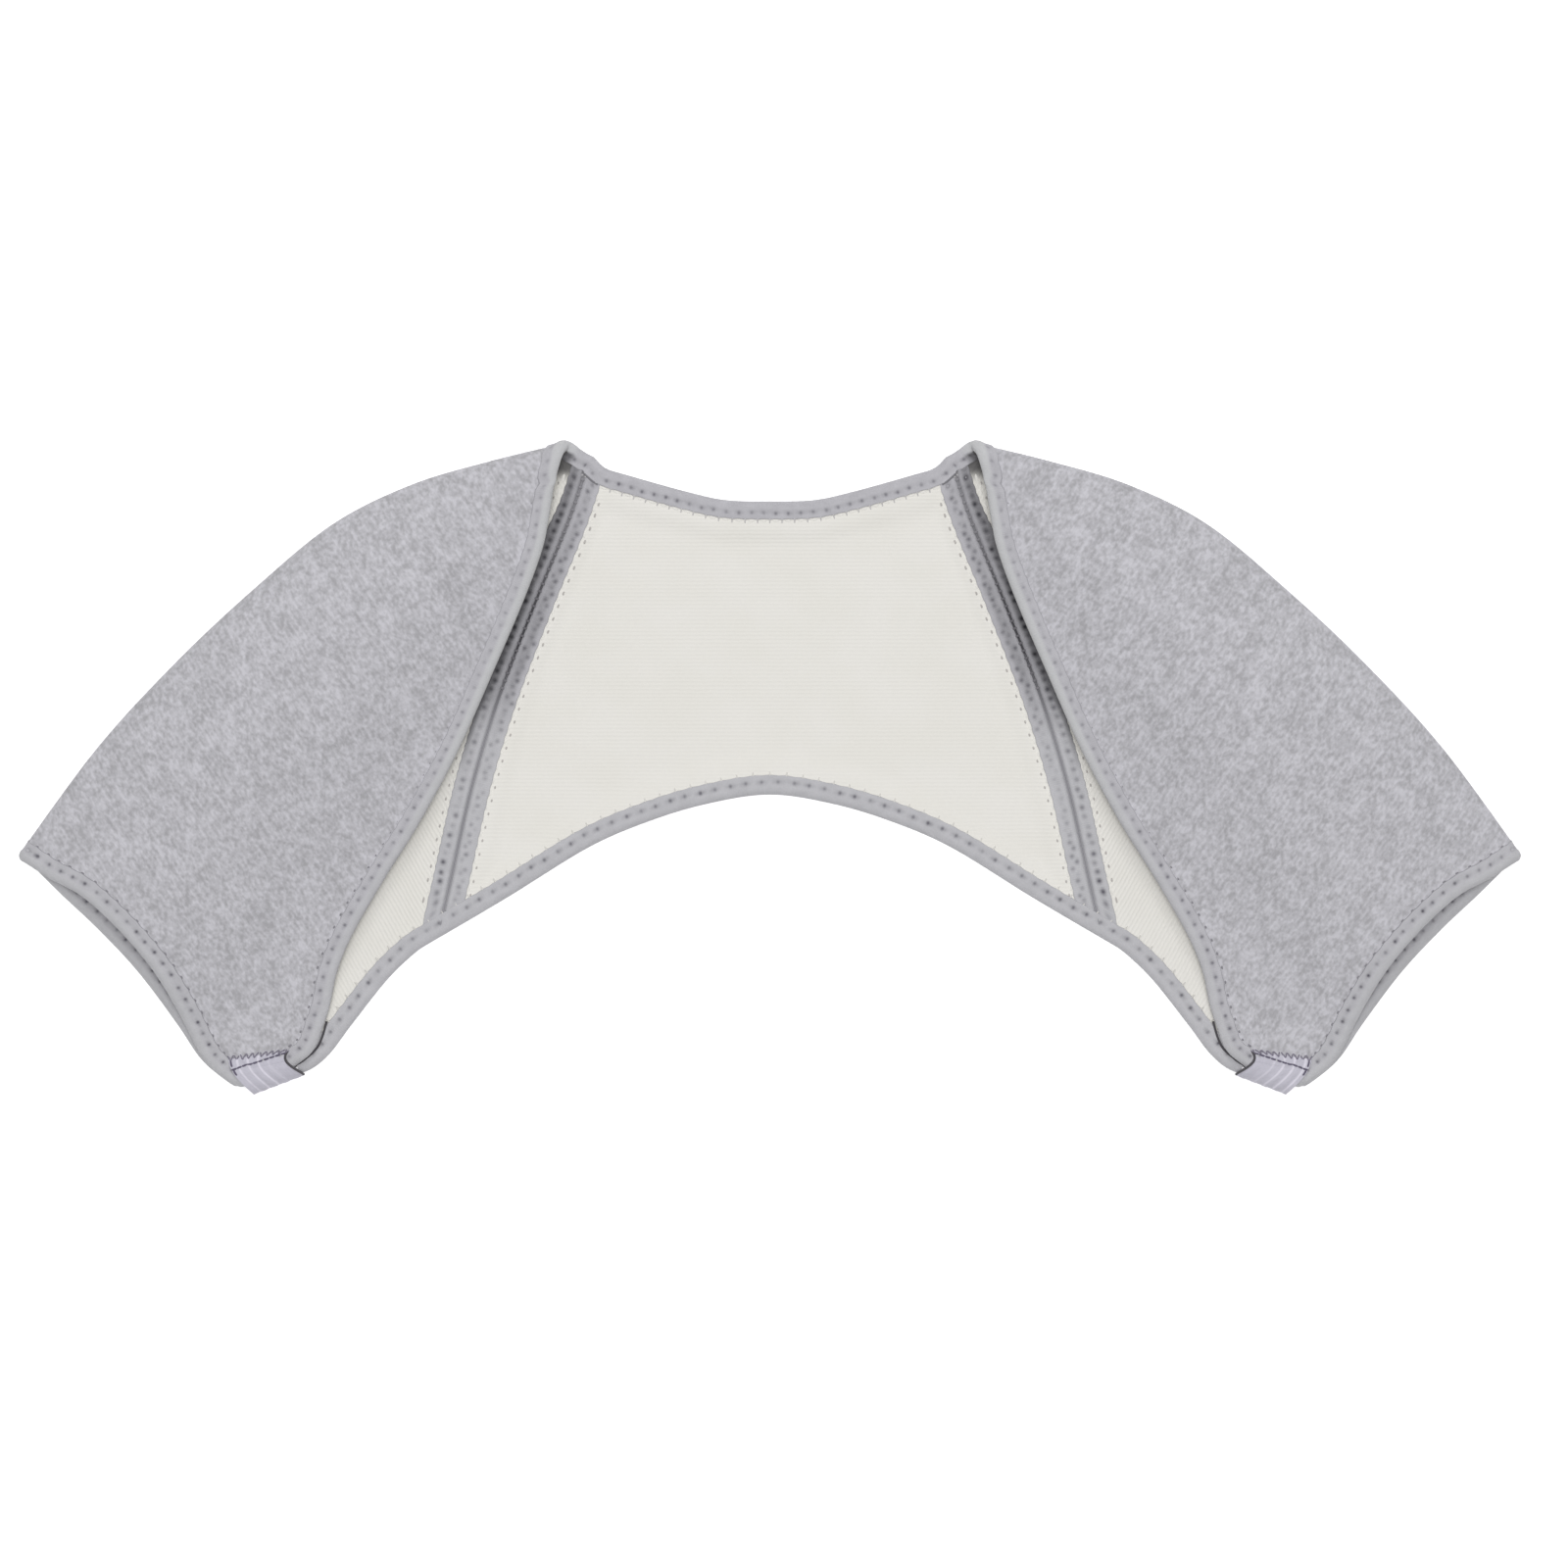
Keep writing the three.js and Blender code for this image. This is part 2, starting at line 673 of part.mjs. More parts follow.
const support = new THREE.Group();
support.name = "posture_support";
wholePieces.forEach((each) => support.add(piece(each.name, each)));
[
  { side: "right", mirror: 1 },
  { side: "left", mirror: -1 },
].forEach(({ side, mirror }) => {
  const half = new THREE.Group();
  half.scale.x = mirror;
  halfPieces.forEach((each) => half.add(piece(`${each.name}_${side}${each.suffix}`, each)));
  support.add(half);
});

export default support;
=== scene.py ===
import math

import bpy
import numpy as np
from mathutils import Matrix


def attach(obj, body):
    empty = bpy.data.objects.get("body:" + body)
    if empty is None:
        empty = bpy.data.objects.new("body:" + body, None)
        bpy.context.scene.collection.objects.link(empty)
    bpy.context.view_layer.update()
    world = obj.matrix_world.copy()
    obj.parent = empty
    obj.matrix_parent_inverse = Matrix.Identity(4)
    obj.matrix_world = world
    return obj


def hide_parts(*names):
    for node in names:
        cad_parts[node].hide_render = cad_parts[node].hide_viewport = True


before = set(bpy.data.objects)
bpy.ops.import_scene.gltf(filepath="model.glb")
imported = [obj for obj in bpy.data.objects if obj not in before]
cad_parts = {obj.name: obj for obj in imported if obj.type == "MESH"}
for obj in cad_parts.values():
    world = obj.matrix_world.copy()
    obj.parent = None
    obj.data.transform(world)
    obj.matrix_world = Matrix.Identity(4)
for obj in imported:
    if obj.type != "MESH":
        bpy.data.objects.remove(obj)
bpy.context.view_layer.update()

MM = 0.001
HANDS = (("right", False), ("left", True))
MIRROR = np.array([-1, 1, 1])
UP = np.array([0, 0, 1.0])

# Cloth, in millimetres
SHELL = 1.7
LINING = 1.0
FIT_GAP = 0.3
WALL = SHELL + FIT_GAP + LINING
SHELL_WALL = (WALL / 2 - SHELL, WALL / 2)
LINING_WALL = (-WALL / 2, LINING - WALL / 2)
TAPE_REACH = 1.2
TAPE_TOP = WALL / 2 + TAPE_REACH
TAPE_BAND = 9.5
BACK_HEM_BAND = 11.5
FLOOR_GAP = 0.25
EDGE_LIFT = TAPE_REACH + FLOOR_GAP
LIFT_END = 18

# Shares of the sleeve's length and width
SEAM_SHARE = 0.735
SEAM_TAPE_END = 0.724
TIP_SHARE = 0.15
TIP_FLAT = 0.24
CUFF_POWER = 4
TURN_WEIGHT = 0.55

# Run of the bend at the fold, and how far and where the back layer rises at the sleeve's tip
FOLD_RUN = 10.5
TIP_LIFT = 1.7
TIP_ACROSS = (0.52, 0.7)
TIP_ALONG = (0.78, 0.92)

# Finished outlines of the half with positive X
NECK_LINE = [(0, 113.5), (19, 114.1), (36, 117.8), (60.7, 124.7), (70, 127.7), (77.6, 133.1)]
BACK_HEM_LINE = [(0, -11.4), (27.4, -15.5), (52.4, -23.1), (77.4, -34), (110.8, -54.6), (140.9, -71.2)]
SLEEVE_HEM_LINE = [
    (140.9, -71.2), (160.8, -87.8), (177.5, -108.6), (186, -119.6), (194.2, -126.2), (200.2, -128.2),
]
SEAM_LINE = [
    (77, 131.9), (84.9, 107.2), (99.9, 70.4), (115.5, 29.6),
    (126.7, -7.2), (135.8, -47.2), (140.9, -69.9),
]
FOLD_LINE = [
    (88.6, 137.8), (119, 130.4), (152.5, 120.3), (185.8, 103.6),
    (219.2, 76.1), (252.5, 44.8), (285.9, 8.5), (318.6, -35.8),
]
FRONT_LINE = [
    (91.2, 122.3), (93.8, 106.1), (96.7, 92.2), (104.6, 70.7), (117.1, 41.5), (132.4, 7.1),
    (148.7, -23.2), (163.1, -46.2), (176.7, -69.6), (183.8, -86.3), (189.2, -107), (203.3, -127.6),
]
CUFF_FRONT_LINE = [
    (319.5, -36.5), (306.5, -46.4), (291.5, -54.8), (275.5, -69.4), (262, -85.6),
    (251.5, -103.2), (242, -122.3), (234, -130.8), (225.5, -135.8),
]
CUFF_BACK_LINE = [
    (319.5, -36.5), (302.6, -53.2), (285.9, -69), (269.2, -86.9),
    (252.5, -109), (241.5, -124.8), (228, -135.8),
]

# Heights of the middle of the sleeve's wall: along, fold, crown, crown's place, edge
SLEEVE_SECTIONS = np.array([
    (0, 9.3, 17, 0.46, 17),
    (0.06, 9.5, 17.3, 0.24, 17.2),
    (0.14, 10.3, 20.5, 0.38, 17.5),
    (0.3, 11.5, 28, 0.46, 16.5),
    (0.55, 12.5, 33, 0.45, 14),
    (0.8, 11.5, 28, 0.42, 11.6),
    (1, 10, 21, 0.4, 9.9),
])

# The front edge sags over the hem just before the elastic
SAG = 3.0
SAG_WAY = np.array([-0.67, -0.74])
SAG_PLACE = 0.957
SAG_SPREAD = 0.0315
SAG_ACROSS = (0.75, 1)

# Slow ripple of the front layer: height, where it starts and ends, and waves by X, Y and phase
RIPPLE = 0.45
RIPPLE_START = (0.05, 0.3)
RIPPLE_END = (0.7, 0.95)
RIPPLE_WAVES = ((0.062, 0.05, 0.7), (-0.037, 0.055, 1.9))

# Tapes: width from the cloth's edge, depth of the round nose, rows of needle pits as depth and phase,
# the pits' step, spread and scatter, step of the stitches, end of their ticks and
# depth of their needle marks
NECK_TAPE = dict(
    width=6.5, nose=1.9, rows=((3.8, 0),), pit_step=5.2, spread=0.6, scatter=0.15,
    stitch_step=5.2, reach=8.1, needles=7.2,
)
HEM_TAPE = dict(
    width=7.2, nose=1.9, rows=((4.1, 0),), pit_step=6.5, spread=0.75, scatter=0.15,
    stitch_step=6.5, reach=8.7, needles=9.0,
)
CUFF_TAPE = dict(
    width=7.3, nose=1.9, rows=((4.2, 0),), pit_step=5.7, spread=0.6, scatter=0.2,
    stitch_step=5.7, reach=8.2, needles=7.6,
)
SLEEVE_SEAM_TAPE = dict(
    width=6.2, nose=0.8, rows=((2.9, 0),), pit_step=4.0, spread=1.15, scatter=0.3,
    stitch_step=5.9, reach=8.4, needles=8.1,
)
BACK_SEAM_TAPE = dict(
    width=6.5, nose=0.8, rows=((2.3, 0), (3.6, 0.5)), pit_step=5.6, spread=0.8, scatter=0.4,
    stitch_step=5.9, reach=8.4, needles=8.3,
)


# Small helpers

def lerp(a, b, t):
    return a + (b - a) * t


def smoothstep(x, low, high):
    t = np.clip((x - low) / (high - low), 0, 1)
    return t * t * (3 - 2 * t)


def rising(x, amount, low, high):
    """From 0 to an amount over a span."""
    return amount * smoothstep(x, low, high)


def falling(x, amount, low, high):
    """From an amount to 0 over a span."""
    return amount * (1 - smoothstep(x, low, high))


def plateau(x, rise, fall):
    """1 after the first span and before the second, 0 outside them."""
    return smoothstep(x, *rise) * (1 - smoothstep(x, *fall))


def bell(x, middle, spread):
    return np.exp(-(((x - middle) / spread) ** 2))


def unit(v):
    return v / np.maximum(np.linalg.norm(v, axis=-1, keepdims=True), 1e-12)


def dot(a, b):
    return (a * b).sum(-1, keepdims=True)


def paired(a, b):
    """Two arrays of the same shape."""
    return np.broadcast_arrays(np.asarray(a, float), np.asarray(b, float))


def run_along(points, axis=0):
    """The way from the start of each line of points to each of its points."""
    steps = np.linalg.norm(np.diff(points, axis=axis), axis=-1)
    start = np.zeros_like(steps.take([0], axis))
    return np.concatenate([start, np.cumsum(steps, axis=axis)], axis)


def raised(plan, height):
    """Points of the plan with their heights."""
    return np.concatenate([plan, np.broadcast_to(height, plan.shape[:-1])[..., None]], -1)


def left_of(follow, places, step):
    """Directions to the left of the way that a line runs, from its function of places."""
    heading = unit(follow(places + step) - follow(places - step))
    return np.stack([-heading[..., 1], heading[..., 0]], -1)


def bridge(here, there, leave, arrive, w):
    """A cubic from one value to the next, with its slopes where it leaves and arrives."""
    cubic = 2 * here - 2 * there + leave + arrive
    square = 3 * there - 3 * here - 2 * leave - arrive
    return ((cubic * w + square) * w + leave) * w + here


class Line:
    """A smooth line through points of the plan, followed by shares of its length."""

    SAMPLES = 1601

    def __init__(self, points):
        self.points = np.asarray(points, float)
        self.places = np.linspace(0, 1, self.SAMPLES)
        self.run = run_along(self.raw(self.places))
        self.length = self.run[-1]

    def raw(self, place):
        last = len(self.points) - 1
        place = np.clip(place, 0, 1) * last
        i = np.minimum(place.astype(int), last - 1)
        w = (place - i)[..., None]
        here, there = self.points[i], self.points[i + 1]
        leave = (there - self.points[np.maximum(i - 1, 0)]) / 2
        arrive = (self.points[np.minimum(i + 2, last)] - here) / 2
        return bridge(here, there, leave, arrive, w)

    def at(self, share):
        return self.raw(np.interp(np.asarray(share, float) * self.length, self.run, self.places))


def shifted(rows, distance):
    """The points moved to the left of the way their line runs."""
    line = Line(rows)
    return line.points + left_of(line.raw, np.linspace(0, 1, len(rows)), 1e-4) * distance


def both_halves(rows):
    return [(-x, y) for x, y in rows[:0:-1]] + list(rows)


def back_edge(rows, inset, corner):
    inner = shifted(both_halves(rows), inset)[1:-1]
    return Line(np.vstack([corner * MIRROR[:2], inner, corner]))


SEAM_INSET = TAPE_REACH + FIT_GAP / 2
sleeve_seam = shifted(SEAM_LINE, SEAM_INSET)
back_seam = shifted(SEAM_LINE, -SEAM_INSET)
fold_edge = Line(shifted(FOLD_LINE, -WALL / 2))
front_edge = Line(shifted(FRONT_LINE, TAPE_REACH))
sleeve_seam_edge = Line(sleeve_seam)
sleeve_hem_edge = Line(np.vstack([sleeve_seam[-1:], shifted(SLEEVE_HEM_LINE, TAPE_REACH)[1:]]))
back_seam_edge = Line(back_seam)
neck_edge = back_edge(NECK_LINE, -TAPE_REACH, back_seam[0])
hem_edge = back_edge(BACK_HEM_LINE, TAPE_REACH, back_seam[-1])
FOLD_LENGTH = fold_edge.length
HALF_BACK = back_seam_edge.at(0.5)[0]
cuff_corner = fold_edge.at(1)


# Sleeve: one cloth, folded at the outer edge

def cuff_line(rows):
    return Line(np.vstack([cuff_corner, shifted(rows, -TAPE_REACH)[1:]]))


front_cuff = cuff_line(CUFF_FRONT_LINE)
back_cuff = cuff_line(CUFF_BACK_LINE)


def sleeve_back_edge(along):
    upper = sleeve_seam_edge.at(np.minimum(along / SEAM_SHARE, 1))
    lower = sleeve_hem_edge.at(np.maximum((along - SEAM_SHARE) / (1 - SEAM_SHARE), 0))
    return np.where((along <= SEAM_SHARE)[..., None], upper, lower)


def sections(along):
    """Fold, crown, crown's place and edge along the sleeve, smooth through the rows of sections."""
    rows, values = SLEEVE_SECTIONS[:, 0], SLEEVE_SECTIONS[:, 1:]
    k = np.clip(np.searchsorted(rows, along, side="right") - 1, 0, len(rows) - 2)
    before = np.where(k == 0, k + 1, k - 1)
    after = np.where(k == len(rows) - 2, k, k + 2)
    step = rows[k + 1] - rows[k]
    here, there = values[k], values[k + 1]
    mean = (there - here) / 2
    leave = mean + (here - values[before]) * (step / (rows[k] - rows[before]) / 2)[..., None]
    arrive = mean + (values[after] - there) * (step / (rows[after] - rows[k + 1]) / 2)[..., None]
    total = bridge(here, there, leave, arrive, ((along - rows[k]) / step)[..., None])
    return np.moveaxis(total, -1, 0)


def turn(share, turn_share):
    level = 1 - np.minimum(share / turn_share, 1)
    return np.sqrt(np.maximum(1 - level * level, 0))


def edge_lift(*depths):
    return falling(np.minimum.reduce(depths), EDGE_LIFT, TAPE_BAND, LIFT_END)


def layer_width(front, along):
    edge = front_edge.at(along) if front else sleeve_back_edge(along)
    return np.linalg.norm(edge - fold_edge.at(along), axis=-1)


def ripple(plan, share, along):
    """Heights of a slow ripple that leaves the edges of the front layer alone."""
    height = RIPPLE * 4 * share * (1 - share) * plateau(along, RIPPLE_START, RIPPLE_END)
    for by_x, by_y, phase in RIPPLE_WAVES:
        height = height * np.sin(by_x * plan[..., 0] + by_y * plan[..., 1] + phase)
    return height


def layer(front, share, along):
    """Points of one layer of the sleeve's middle surface."""
    share, along = paired(share, along)
    edge_at = front_edge.at if front else sleeve_back_edge
    cuff = front_cuff if front else back_cuff
    tip_start = 1 - TIP_SHARE
    corner = edge_at(np.ones(1))[0]
    round_cuff = cuff.at(np.minimum(share / tip_start, 1))
    to_corner = np.maximum(share - tip_start, 0)[..., None] / TIP_SHARE
    cuff_point = round_cuff + (corner - cuff.at(1)) * to_corner
    bow = cuff_point - lerp(cuff_corner, corner, share[..., None])
    straight = lerp(fold_edge.at(along), edge_at(along), share[..., None])
    plan = straight + bow * (along**CUFF_POWER)[..., None]
    fold, crown, crown_at, edge = sections(along)
    if front:
        sag = SAG * bell(along, SAG_PLACE, SAG_SPREAD) * smoothstep(share, *SAG_ACROSS)
        plan = plan + sag[..., None] * SAG_WAY
        fall = smoothstep(share, crown_at, 1 - TIP_FLAT * along**CUFF_POWER)
        height = lerp(fold, crown, turn(share, crown_at)) - (crown - edge) * fall
        return raised(plan, height + ripple(plan, share, along))
    width = layer_width(False, along)
    lift = edge_lift((1 - share) * width, (1 - along) * FOLD_LENGTH, along * FOLD_LENGTH)
    tip = smoothstep(share, *TIP_ACROSS) * smoothstep(along, *TIP_ALONG)
    rest = WALL / 2 + lerp(lift, EDGE_LIFT + TIP_LIFT, tip)
    return raised(plan, lerp(fold, rest, turn(share, FOLD_RUN / width)))


def share_at(front, place, along):
    """Share of a layer's width at an even place of the cloth, closer together in the bend."""
    turn_share = sections(along)[2] if front else np.minimum(FOLD_RUN / layer_width(False, along), 1)
    turn_end = 1 - (1 - turn_share) * TURN_WEIGHT
    bent = turn_share * (1 - np.cos(np.minimum(place / turn_end, 1) * math.pi / 2))
    return np.where(place > turn_end, 1 - (1 - place) / TURN_WEIGHT, bent)


def sleeve(across, along):
    """Points from the back edge, at -1, over the fold, at 0, to the front edge, at 1."""
    across, along = paired(across, along)
    front = layer(True, share_at(True, np.maximum(across, 0), along), along)
    back = layer(False, share_at(False, np.maximum(-across, 0), along), along)
    return np.where((across >= 0)[..., None], front, back)


def sleeve_normal(across, along):
    step = 1.5e-3
    over = sleeve(np.minimum(across + step, 1), along) - sleeve(np.maximum(across - step, -1), along)
    down = sleeve(across, np.minimum(along + step, 1)) - sleeve(across, np.maximum(along - step, 0))
    return unit(np.cross(over, down))


# Back panel

def back_height(side):
    """Length of the panel from neck to hem."""
    share = (np.asarray(side, float) + 1) / 2
    return np.linalg.norm(hem_edge.at(share) - neck_edge.at(share), axis=-1)


def back(side, down):
    """Points of the middle surface, from side to side, at -1 and 1, and from neck to hem, at 0 and 1."""
    side, down = paired(side, down)
    share = (side + 1) / 2
    across, fall = share[..., None], down[..., None]
    flip = MIRROR[:2]
    seam, top, low = (back_seam_edge.at(place) for place in (down, 0, 1))
    corners = lerp(lerp(top * flip, top, across), lerp(low * flip, low, across), fall)
    plan = lerp(neck_edge.at(share), hem_edge.at(share), fall) + lerp(seam * flip, seam, across) - corners
    height = back_height(side)
    lift = edge_lift((1 - np.abs(side)) * HALF_BACK, down * height, (1 - down) * height)
    return raised(plan, WALL / 2 + lift)


# Materials

def linear(*srgb):
    """Linear colour from sRGB levels of 0 to 255."""
    levels = [level / 255 for level in srgb]
    return [v / 12.92 if v <= 0.04045 else ((v + 0.055) / 1.055) ** 2.4 for v in levels] + [1]


def grey(value):
    return [value, value, value, 1]


class Cloth:
    """A cloth material whose nodes follow the cloth's own millimetres."""

    def __init__(self, name, roughness, sheen):
        self.material = bpy.data.materials.new(name)
        self.material.use_nodes = True
        self.tree = self.material.node_tree
        self.shader = self.tree.nodes["Principled BSDF"]
        self.feed(self.shader, {
            "Roughness": roughness, "Specular IOR Level": 0.15,
            "Sheen Weight": sheen, "Sheen Roughness": 0.5,
        })
        self.place = self.node("ShaderNodeTexCoord", {}).outputs["UV"]

    def feed(self, node, inputs):
        """Sets the inputs of a node to values, or links them to sockets."""
        for key, value in inputs.items():
            if isinstance(value, bpy.types.NodeSocket):
                self.tree.links.new(value, node.inputs[key])
            else:
                node.inputs[key].default_value = value

    def node(self, kind, inputs, **settings):
        made = self.tree.nodes.new(kind)
        for setting, value in settings.items():
            setattr(made, setting, value)
        self.feed(made, inputs)
        return made

    def noise(self, across, along, detail, roughness):
        """Noise by its spots a millimetre, across and along the cloth."""
        place = self.node("ShaderNodeMapping", {"Scale": (across, along, 1), "Vector": self.place})
        inputs = {"Scale": 1, "Detail": detail, "Roughness": roughness, "Vector": place.outputs["Vector"]}
        return self.node("ShaderNodeTexNoise", inputs, noise_dimensions="2D").outputs[0]

    def ribs(self, period, wobble, direction="X"):
        inputs = {
            "Scale": math.pi / 10 / period, "Distortion": wobble,
            "Detail": 1, "Detail Scale": 0.6, "Vector": self.place,
        }
        return self.node("ShaderNodeTexWave", inputs, bands_direction=direction).outputs["Fac"]

    def ramp(self, factor, stops):
        node = self.node("ShaderNodeValToRGB", {"Fac": factor})
        elements = node.color_ramp.elements
        while len(elements) < len(stops):
            elements.new(0.5)
        for element, (position, colour) in zip(elements, stops):
            element.position = position
            element.color = colour
        return node.outputs["Color"]

    def mix(self, a, b, factor, blend="MIX"):
        inputs = {0: factor, 6: a, 7: b}
        return self.node("ShaderNodeMix", inputs, data_type="RGBA", blend_type=blend).outputs[2]

    def toned(self, colour, factor, *stops):
        """The colour times a grey that follows a factor, by stops of place and level."""
        tone = self.ramp(factor, [(place, grey(level)) for place, level in stops])
        return self.mix(colour, tone, 1.0, "MULTIPLY")

    def sum(self, *terms):
        total = 0
        for factor, weight in terms:
            inputs = {0: factor, 1: weight, 2: total}
            total = self.node("ShaderNodeMath", inputs, operation="MULTIPLY_ADD").outputs[0]
        return total

    def attribute(self, name):
        return self.node("ShaderNodeAttribute", {}, attribute_name=name).outputs["Fac"]

    def done(self, colour, relief=None, depth=0.0):
        """The material with its colour and, where it has one, a relief of a depth in millimetres."""
        self.feed(self.shader, {"Base Color": colour})
        if relief is not None:
            bump = self.node("ShaderNodeBump", {"Height": relief, "Distance": depth * MM})
            self.feed(self.shader, {"Normal": bump.outputs["Normal"]})
        return self.material


def knit_material():
    cloth = Cloth("heather_knit", 0.95, 0.08)
    clouds = cloth.noise(0.09, 0.065, 2, 0.5)
    patches = cloth.noise(0.25, 0.19, 2, 0.5)
    flecks = cloth.noise(0.62, 0.45, 1, 0.5)
    fibre = cloth.noise(1.8, 0.95, 2, 0.55)
    ribs = cloth.ribs(2.0, 1.4)
    mottle = cloth.ramp(cloth.sum((flecks, 0.42), (patches, 0.36), (clouds, 0.22)), [
        (0.36, linear(167, 166, 170)),
        (0.5, linear(184, 183, 188)),
        (0.64, linear(199, 198, 204)),
    ])
    fine = cloth.toned(mottle, fibre, (0.25, 0.955), (0.75, 1))
    lines = cloth.toned(fine, ribs, (0, 0.96), (0.5, 0.97), (1, 1))
    return cloth.done(lines, cloth.sum((ribs, 0.5), (fibre, 0.6), (flecks, 0.6)), 0.12)


def lining_material(name, valley_shade, relief):
    cloth = Cloth(name, 0.95, 0.05)
    ribs = cloth.ribs(1.65, 0.7)
    loops = cloth.noise(1.3, 0.5, 2, 0.6)
    tone = cloth.noise(0.05, 0.035, 2, 0.5)
    base = cloth.ramp(tone, [(0.3, linear(225, 223, 217)), (0.7, linear(227, 225, 220))])
    fine = cloth.toned(base, loops, (0.2, 0.975), (0.8, 1))
    # The rib valleys are darkened: painted shade of the ribs' relief.
    lines = cloth.toned(fine, ribs, (0, valley_shade), (1, 1))
    shaded = cloth.mix(lines, linear(70, 69, 71), cloth.attribute("shade"))
    return cloth.done(shaded, cloth.sum((ribs, 1.0), (loops, 0.7)), relief)


def tape_material():
    cloth = Cloth("binding_tape", 0.9, 0.08)
    grain = cloth.noise(1.1, 1.6, 3, 0.6)
    tone = cloth.noise(0.16, 0.3, 2, 0.5)
    ribs = cloth.ribs(0.9, 0.6)
    lilac = cloth.ramp(tone, [(0.3, linear(177, 176, 181)), (0.7, linear(185, 184, 189))])
    base = cloth.mix(lilac, linear(195, 196, 197), cloth.attribute("pale"))
    fine = cloth.toned(base, grain, (0.25, 0.93), (0.75, 1))
    patchy = cloth.mix(grey(0.6), grey(1.0), cloth.noise(0.35, 0.4, 2, 0.6))
    shade = cloth.attribute("shade")
    shaded = cloth.mix(fine, linear(60, 59, 62), cloth.mix(grey(0.0), patchy, shade))
    # Needle pits darken towards a dark grey, darker still in painted shade: partly dark thread at the pit's
    # bottom, partly painted shadow in the dimple.
    hole = cloth.mix(linear(84, 82, 91), linear(28, 28, 31), shade)
    holed = cloth.mix(shaded, hole, cloth.attribute("pit"))
    return cloth.done(holed, cloth.sum((ribs, 0.4), (grain, 0.8)), 0.12)


def elastic_material():
    cloth = Cloth("ribbed_elastic", 0.85, 0.08)
    ribs = cloth.ribs(4.7, 0.3)
    weave = cloth.ribs(0.75, 0.2, "Y")
    grain = cloth.noise(1.4, 0.6, 2, 0.6)
    plain = linear(192, 190, 201)
    ribbed = cloth.ramp(ribs, [(0.0, plain), (0.8, linear(194, 192, 203)), (0.97, linear(215, 212, 223))])
    base = cloth.mix(plain, ribbed, cloth.attribute("ribbed"))
    fine = cloth.toned(base, grain, (0.25, 0.93), (0.75, 1))
    return cloth.done(fine, cloth.sum((ribs, 0.6), (weave, 0.4), (grain, 0.4)), 0.15)


def thread_material(name, colour, foot=None):
    """Thread that may change its colour towards the foot of a seam."""
    cloth = Cloth(name, 0.75, 0.1)
    grain = cloth.noise(2.0, 2.0, 1, 0.5)
    base = cloth.mix(linear(*colour), linear(*(foot or colour)), cloth.attribute("foot"))
    return cloth.done(cloth.toned(base, grain, (0.2, 0.85), (0.8, 1)))


KNIT = knit_material()
# The back's and the sleeve's linings are one cloth; the sleeve's darker rib valleys are stronger painted
# shade of the ribs' relief under grazing light.
BACK_CREAM = lining_material("back_lining", 0.978, 0.08)
SLEEVE_CREAM = lining_material("sleeve_lining", 0.955, 0.14)
TAPE = tape_material()
ELASTIC = elastic_material()
THREAD = thread_material("pale_thread", (212, 210, 211))
HEM_THREAD = thread_material("hem_thread", (226, 224, 220))
# Paler than the lining itself: a painted highlight on the lining's swells.
LIT_LINING_SWELL = thread_material("lit_lining_swell", (243, 241, 236))
CREAM_NEEDLE = thread_material("cream_needle", (194, 190, 187))
KNIT_NEEDLE = thread_material("knit_needle", (146, 144, 150))
# The seam's threads are dark up the seam and pale at its foot: partly their own colour, partly painted shade
# of the groove under the front flap; the seam thread also paints the shadow line where the tapes cross.
SEAM_LOOP = thread_material("seam_loop", (116, 114, 119), (176, 175, 180))
SEAM_CORE = thread_material("seam_core", (72, 71, 75), (178, 177, 182))
SEAM_THREAD = thread_material("seam_thread", (108, 107, 112), (144, 143, 148))
# Dark thread that paints the contact shadow beside the elastic, and partly the shadow of the gap along the
# band's closed side.
THREAD_AND_SHADOW_LINE = thread_material("tack_thread", (84, 82, 86))
BAND_THREAD = thread_material("band_thread", (104, 99, 116))
BAND_LOOP = thread_material("band_loop", (134, 129, 144))


# Meshes

LEFT_PATTERN = (431.0, 173.0)


def add_object(name, data):
    made = bpy.data.objects.new(name, data)
    bpy.context.scene.collection.objects.link(made)
    return made


def add_mesh(name, points, faces, uv, material, mirrored=False, marks=None):
    """A mesh from millimetres; a mirrored one takes another patch of the cloth's pattern."""
    points = np.asarray(points, float).reshape(-1, 3) * MM
    uv = np.asarray(uv, float).reshape(-1, 2)
    if mirrored:
        points = points * MIRROR
        faces = faces[:, ::-1]
        uv = uv + LEFT_PATTERN
    mesh = bpy.data.meshes.new(name)
    mesh.from_pydata(points.tolist(), [], faces.tolist())
    mesh.uv_layers.new(name="UVMap").data.foreach_set("uv", uv[faces.ravel()].ravel())
    for mark, values in (marks or {}).items():
        attribute = mesh.attributes.new(mark, "FLOAT", "POINT")
        attribute.data.foreach_set("value", np.asarray(values, float).ravel())
    mesh.shade_smooth()
    mesh.set_sharp_from_angle(angle=math.radians(50))
    mesh.materials.append(material)
    mesh.validate()
    return add_object(name, mesh)


def dress(made, node):
    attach(made, "root")
    if node:
        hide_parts(node)
    return made


def add_thread(name, mesh, thread, mirrored, marks=None):
    return dress(add_mesh(name, *mesh, thread, mirrored, marks), None)


